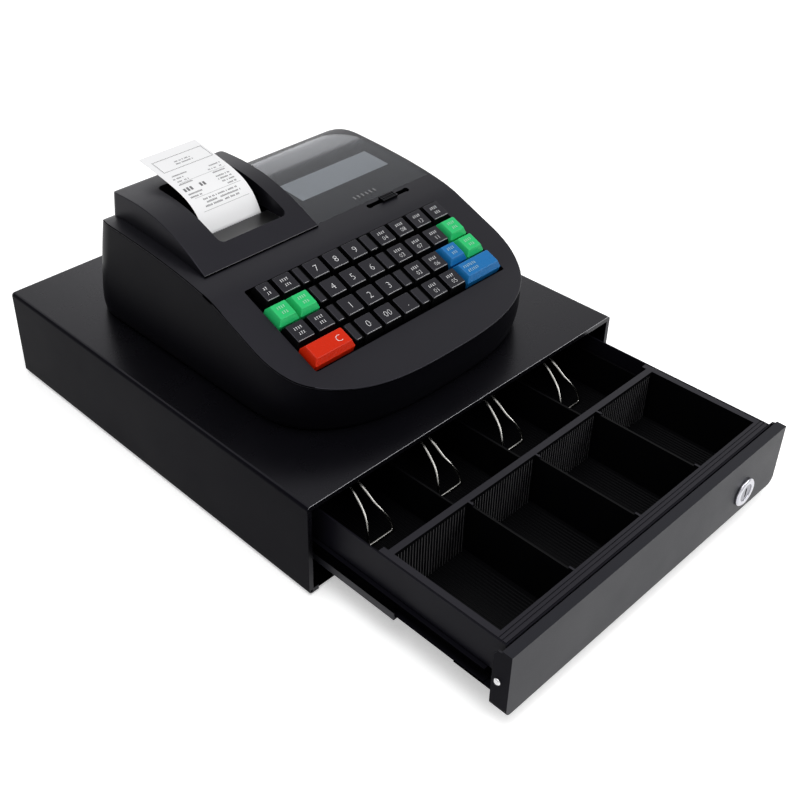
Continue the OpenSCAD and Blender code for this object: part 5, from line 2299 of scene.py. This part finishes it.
@dataclass
class Display(Section):
    """The glossy lens with the display module below it, and the mode switch.

    Attributes:
        lens: Plan of the lens: left, front, right, back.
        thick: Thickness of the lens.
        screen: The display's face: left, front, right, back.
        module_gap: From the lens down to the module's face.
        module_foot: From the top face down to the module's foot.
        knob_share: The knob's height above the body, as a share of the solid's.
        groove: Start, pitch, width and depth of the grooves across the knob.
        tick_row: The first mark's x, the marks' pitch and their y.
        tick: Width and length of a mark.
    """

    lens: Quad = (-2.65, 165.907, 122.85, 272.85)
    thick: float = 1.6
    screen: Quad = (12.0, 197.757, 108.5, 226.557)
    module_gap: float = 0.35
    module_foot: float = 9.0
    knob_share: float = 0.5
    groove: Quad = (-6.9, 2.35, 1.1, 0.9)
    tick_row: Point = (47.0, 4.4, 175.0)
    tick: Pair = (1.5, 4.0)

    def lens_plate(self) -> None:
        """Builds the tinted lens, flush with the body."""
        top = SHAPE.top
        outline = rounded(*self.lens, (1.6, 1.0, 37.9, 0.6), 12)
        mesh = draped_plate(outline, top, lambda y: top(y) - self.thick + 0.1)
        self.ticks(mesh)
        settle(mesh, "display_lens", Body.BASE, Slot.LENS, [LENS_SMOKE, TICK_INK], "plate")

    def module(self) -> None:
        """Builds the display module with its pale face."""
        top = SHAPE.top
        mesh = draped_plate(
            rounded(*self.screen, 0.6, 3), lambda y: top(y) - self.thick - self.module_gap,
            lambda y: top(y) - self.module_foot, 0.3,
        )
        settle(mesh, "display_module", Body.BASE, Slot.DISPLAY, [DISPLAY_GREY], "face")

    def ticks(self, mesh: Mesh) -> None:
        """Adds the row of small pale marks near the lens's front edge.

        Args:
            mesh: The lens's mesh.
        """
        start, pitch, y = self.tick_row
        tilt = math.atan2(SHAPE.top(y + 1) - SHAPE.top(y - 1), 2)
        for k in range(6):
            place = Matrix.Translation((start + pitch * k, y, SHAPE.top(y) + 0.03))
            patch(mesh, place @ Matrix.Rotation(tilt, 4, "X"), *self.tick, 1)

    def knob(self) -> None:
        """Builds the mode switch's knob with the ribs across its top; its sides and grooves are in
        the keys' painted shade.
        """
        mesh = self.merged("mode_knob")
        place = SHAPE.on_crown(*BODY.slot[:2])
        mesh.transform(place.inverted())
        for vert in mesh.verts:
            if vert.co.z > 0:
                vert.co.z *= self.knob_share
        top = max(v.co.z for v in mesh.verts)
        start, pitch, width, depth = self.groove
        across = [(start + pitch * k, -6, top - depth, width, 12) for k in range(6)]
        along = [(-12, front, top - 0.7, 24, 0.9) for front in (-1.6, 0.7)]
        for left, front, low, wide, deep in across + along:
            groove = bmesh.new()
            box(groove, (left, front, low), (left + wide, front + deep, top + 1))
            mesh = cut(mesh, groove)
        bmesh.ops.remove_doubles(mesh, verts=mesh.verts, dist=1e-3)
        soften(mesh, sharp, 0.22)
        # The knob's sides and grooves take the keys' painted shade.
        paint(mesh, lambda face: int(face.calc_center_median().z < top - 0.5))
        mesh.transform(place)
        settle(mesh, "mode_knob", Body.KNOB, Slot.KEY_BLACK, [KEY_BLACK, KEY_SIDE_PAINTED_SHADE])

    def build(self) -> None:
        """Builds and dresses the display and the switch."""
        self.lens_plate()
        self.module()
        self.knob()


# ---- studio ----


@dataclass(frozen=True)
class Lamp:
    """A soft rectangular lamp.

    Attributes:
        name: Its name.
        place: Where it hangs, in metres.
        aim: What it points at.
        size: Its width and height.
        power: Its power in watts.
    """

    name: str
    place: Point
    aim: Point
    size: Pair
    power: float


@dataclass
class Studio:
    """Camera, world, soft lamps and pale floor.

    Attributes:
        lens: The camera's focal length for a 36 mm sensor.
        camera: The camera's place, in metres.
        right: The camera's right direction.
        up: The camera's up direction.
        back: The camera's back direction.
        shift: The camera's shift.
        ambient: Level of the world's light.
        floor_half: Half of the floor's side, in metres.
        floor_seen: The floor's own light to camera, glossy and transmitted rays.
        lamps: The lamps.
    """

    lens: float = 52.858
    camera: Point = (-0.536956, -0.524935, 0.597991)
    right: Point = (0.71908968, -0.69491479, 0.00186333)
    up: Point = (0.39541065, 0.41136835, 0.82123474)
    back: Point = (-0.57145468, -0.58980465, 0.57058744)
    shift: Pair = (0.05915, -0.0623)
    ambient: float = 0.35
    floor_half: float = 6.0
    floor_seen: float = 0.42
    lamps: tuple[Lamp, ...] = (
        Lamp("key_lamp", (1.15, -1.45, 1.15), (0, 0, 0.08), (1.3, 0.55), 14),
        Lamp("back_lamp", (1.74, 2.13, 1.1), (1.74, 2.13, 0.0), (1.72, 1.54), 14),
        Lamp("top_lamp", (-0.4, -0.4, 2.1), (0, 0, 0.1), (1.6, 1.6), 30),
    )

    def set_camera(self) -> None:
        """Places the camera."""
        data = bpy.data.cameras.new("camera")
        data.lens = self.lens
        data.sensor_width = 36
        data.shift_x, data.shift_y = self.shift
        data.clip_start, data.clip_end = 0.01, 50
        camera = add_object("camera", data)
        turn = Matrix((self.right, self.up, self.back)).transposed().to_4x4()
        camera.matrix_world = Matrix.Translation(self.camera) @ turn
        bpy.context.scene.camera = camera

    def set_world(self) -> None:
        """Gives the world a plain light that is white to the camera and in reflections."""
        world = bpy.data.worlds.new("studio")
        world.use_nodes = True
        bpy.context.scene.world = world
        tree = world.node_tree
        shader = tree.nodes["Background"]
        shader.inputs["Color"].default_value = (1, 1, 1, 1)
        self.link_strength(tree, shader.inputs["Strength"], self.ambient)

    def link_strength(self, tree: bpy.types.NodeTree, socket: bpy.types.NodeSocket, plain: float,
                      seen: float = 1.0) -> None:
        """Makes a strength differ for camera, glossy and transmitted rays.

        Args:
            tree: The node tree.
            socket: The strength's socket.
            plain: The strength for every other ray.
            seen: The strength for camera, glossy and transmitted rays.
        """
        path = tree.nodes.new("ShaderNodeLightPath")
        either = path.outputs["Is Camera Ray"]
        for ray in ("Is Glossy Ray", "Is Transmission Ray"):
            most = tree.nodes.new("ShaderNodeMath")
            most.operation = "MAXIMUM"
            tree.links.new(either, most.inputs[0])
            tree.links.new(path.outputs[ray], most.inputs[1])
            either = most.outputs[0]
        level = add_node(tree, "ShaderNodeMapRange", To_Min=plain, To_Max=seen)
        tree.links.new(either, level.inputs["Value"])
        tree.links.new(level.outputs["Result"], socket)

    def hang(self, lamp: Lamp) -> None:
        """Hangs a lamp.

        Args:
            lamp: The lamp.
        """
        data = bpy.data.lights.new(lamp.name, "AREA")
        data.shape = "RECTANGLE"
        data.size, data.size_y = lamp.size
        data.energy = lamp.power
        obj = add_object(lamp.name, data)
        turn = (Vector(lamp.aim) - Vector(lamp.place)).to_track_quat("-Z", "Y")
        obj.matrix_world = Matrix.Translation(lamp.place) @ turn.to_matrix().to_4x4()

    def floor(self) -> None:
        """Lays the pale floor, which is white to the camera away from the object's shadow."""
        mesh = bmesh.new()
        bmesh.ops.create_grid(mesh, x_segments=1, y_segments=1, size=self.floor_half)
        data = bpy.data.meshes.new("floor")
        mesh.to_mesh(data)
        mesh.free()
        material = bpy.data.materials.new("floor_paper")
        material.use_nodes = True
        tree = material.node_tree
        shader = tree.nodes["Principled BSDF"]
        set_inputs(
            shader, Base_Color=(0.93, 0.93, 0.93, 1), Roughness=0.9, Specular_IOR_Level=0.0,
            Emission_Color=(1, 1, 1, 1),
        )
        self.link_strength(tree, shader.inputs["Emission Strength"], 0.0, self.floor_seen)
        data.materials.append(material)
        add_object("floor", data)

    def build(self) -> None:
        """Sets up the studio."""
        bpy.context.scene.view_settings.view_transform = "Standard"
        self.set_camera()
        self.set_world()
        self.floor()
        for lamp in self.lamps:
            self.hang(lamp)


BODY = RegisterBody()


def main() -> None:
    """Builds the till and its studio."""
    logging.basicConfig(level=logging.INFO, format="%(name)s: %(message)s")
    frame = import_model()
    sections = (
        Studio(), Cabinet(frame), CashDrawer(frame), TillTray(frame), NoteClips(), BODY,
        Keyboard(frame), Printer(frame), Display(frame),
    )
    for section in sections:
        section.build()


if __name__ == "__main__":
    main()
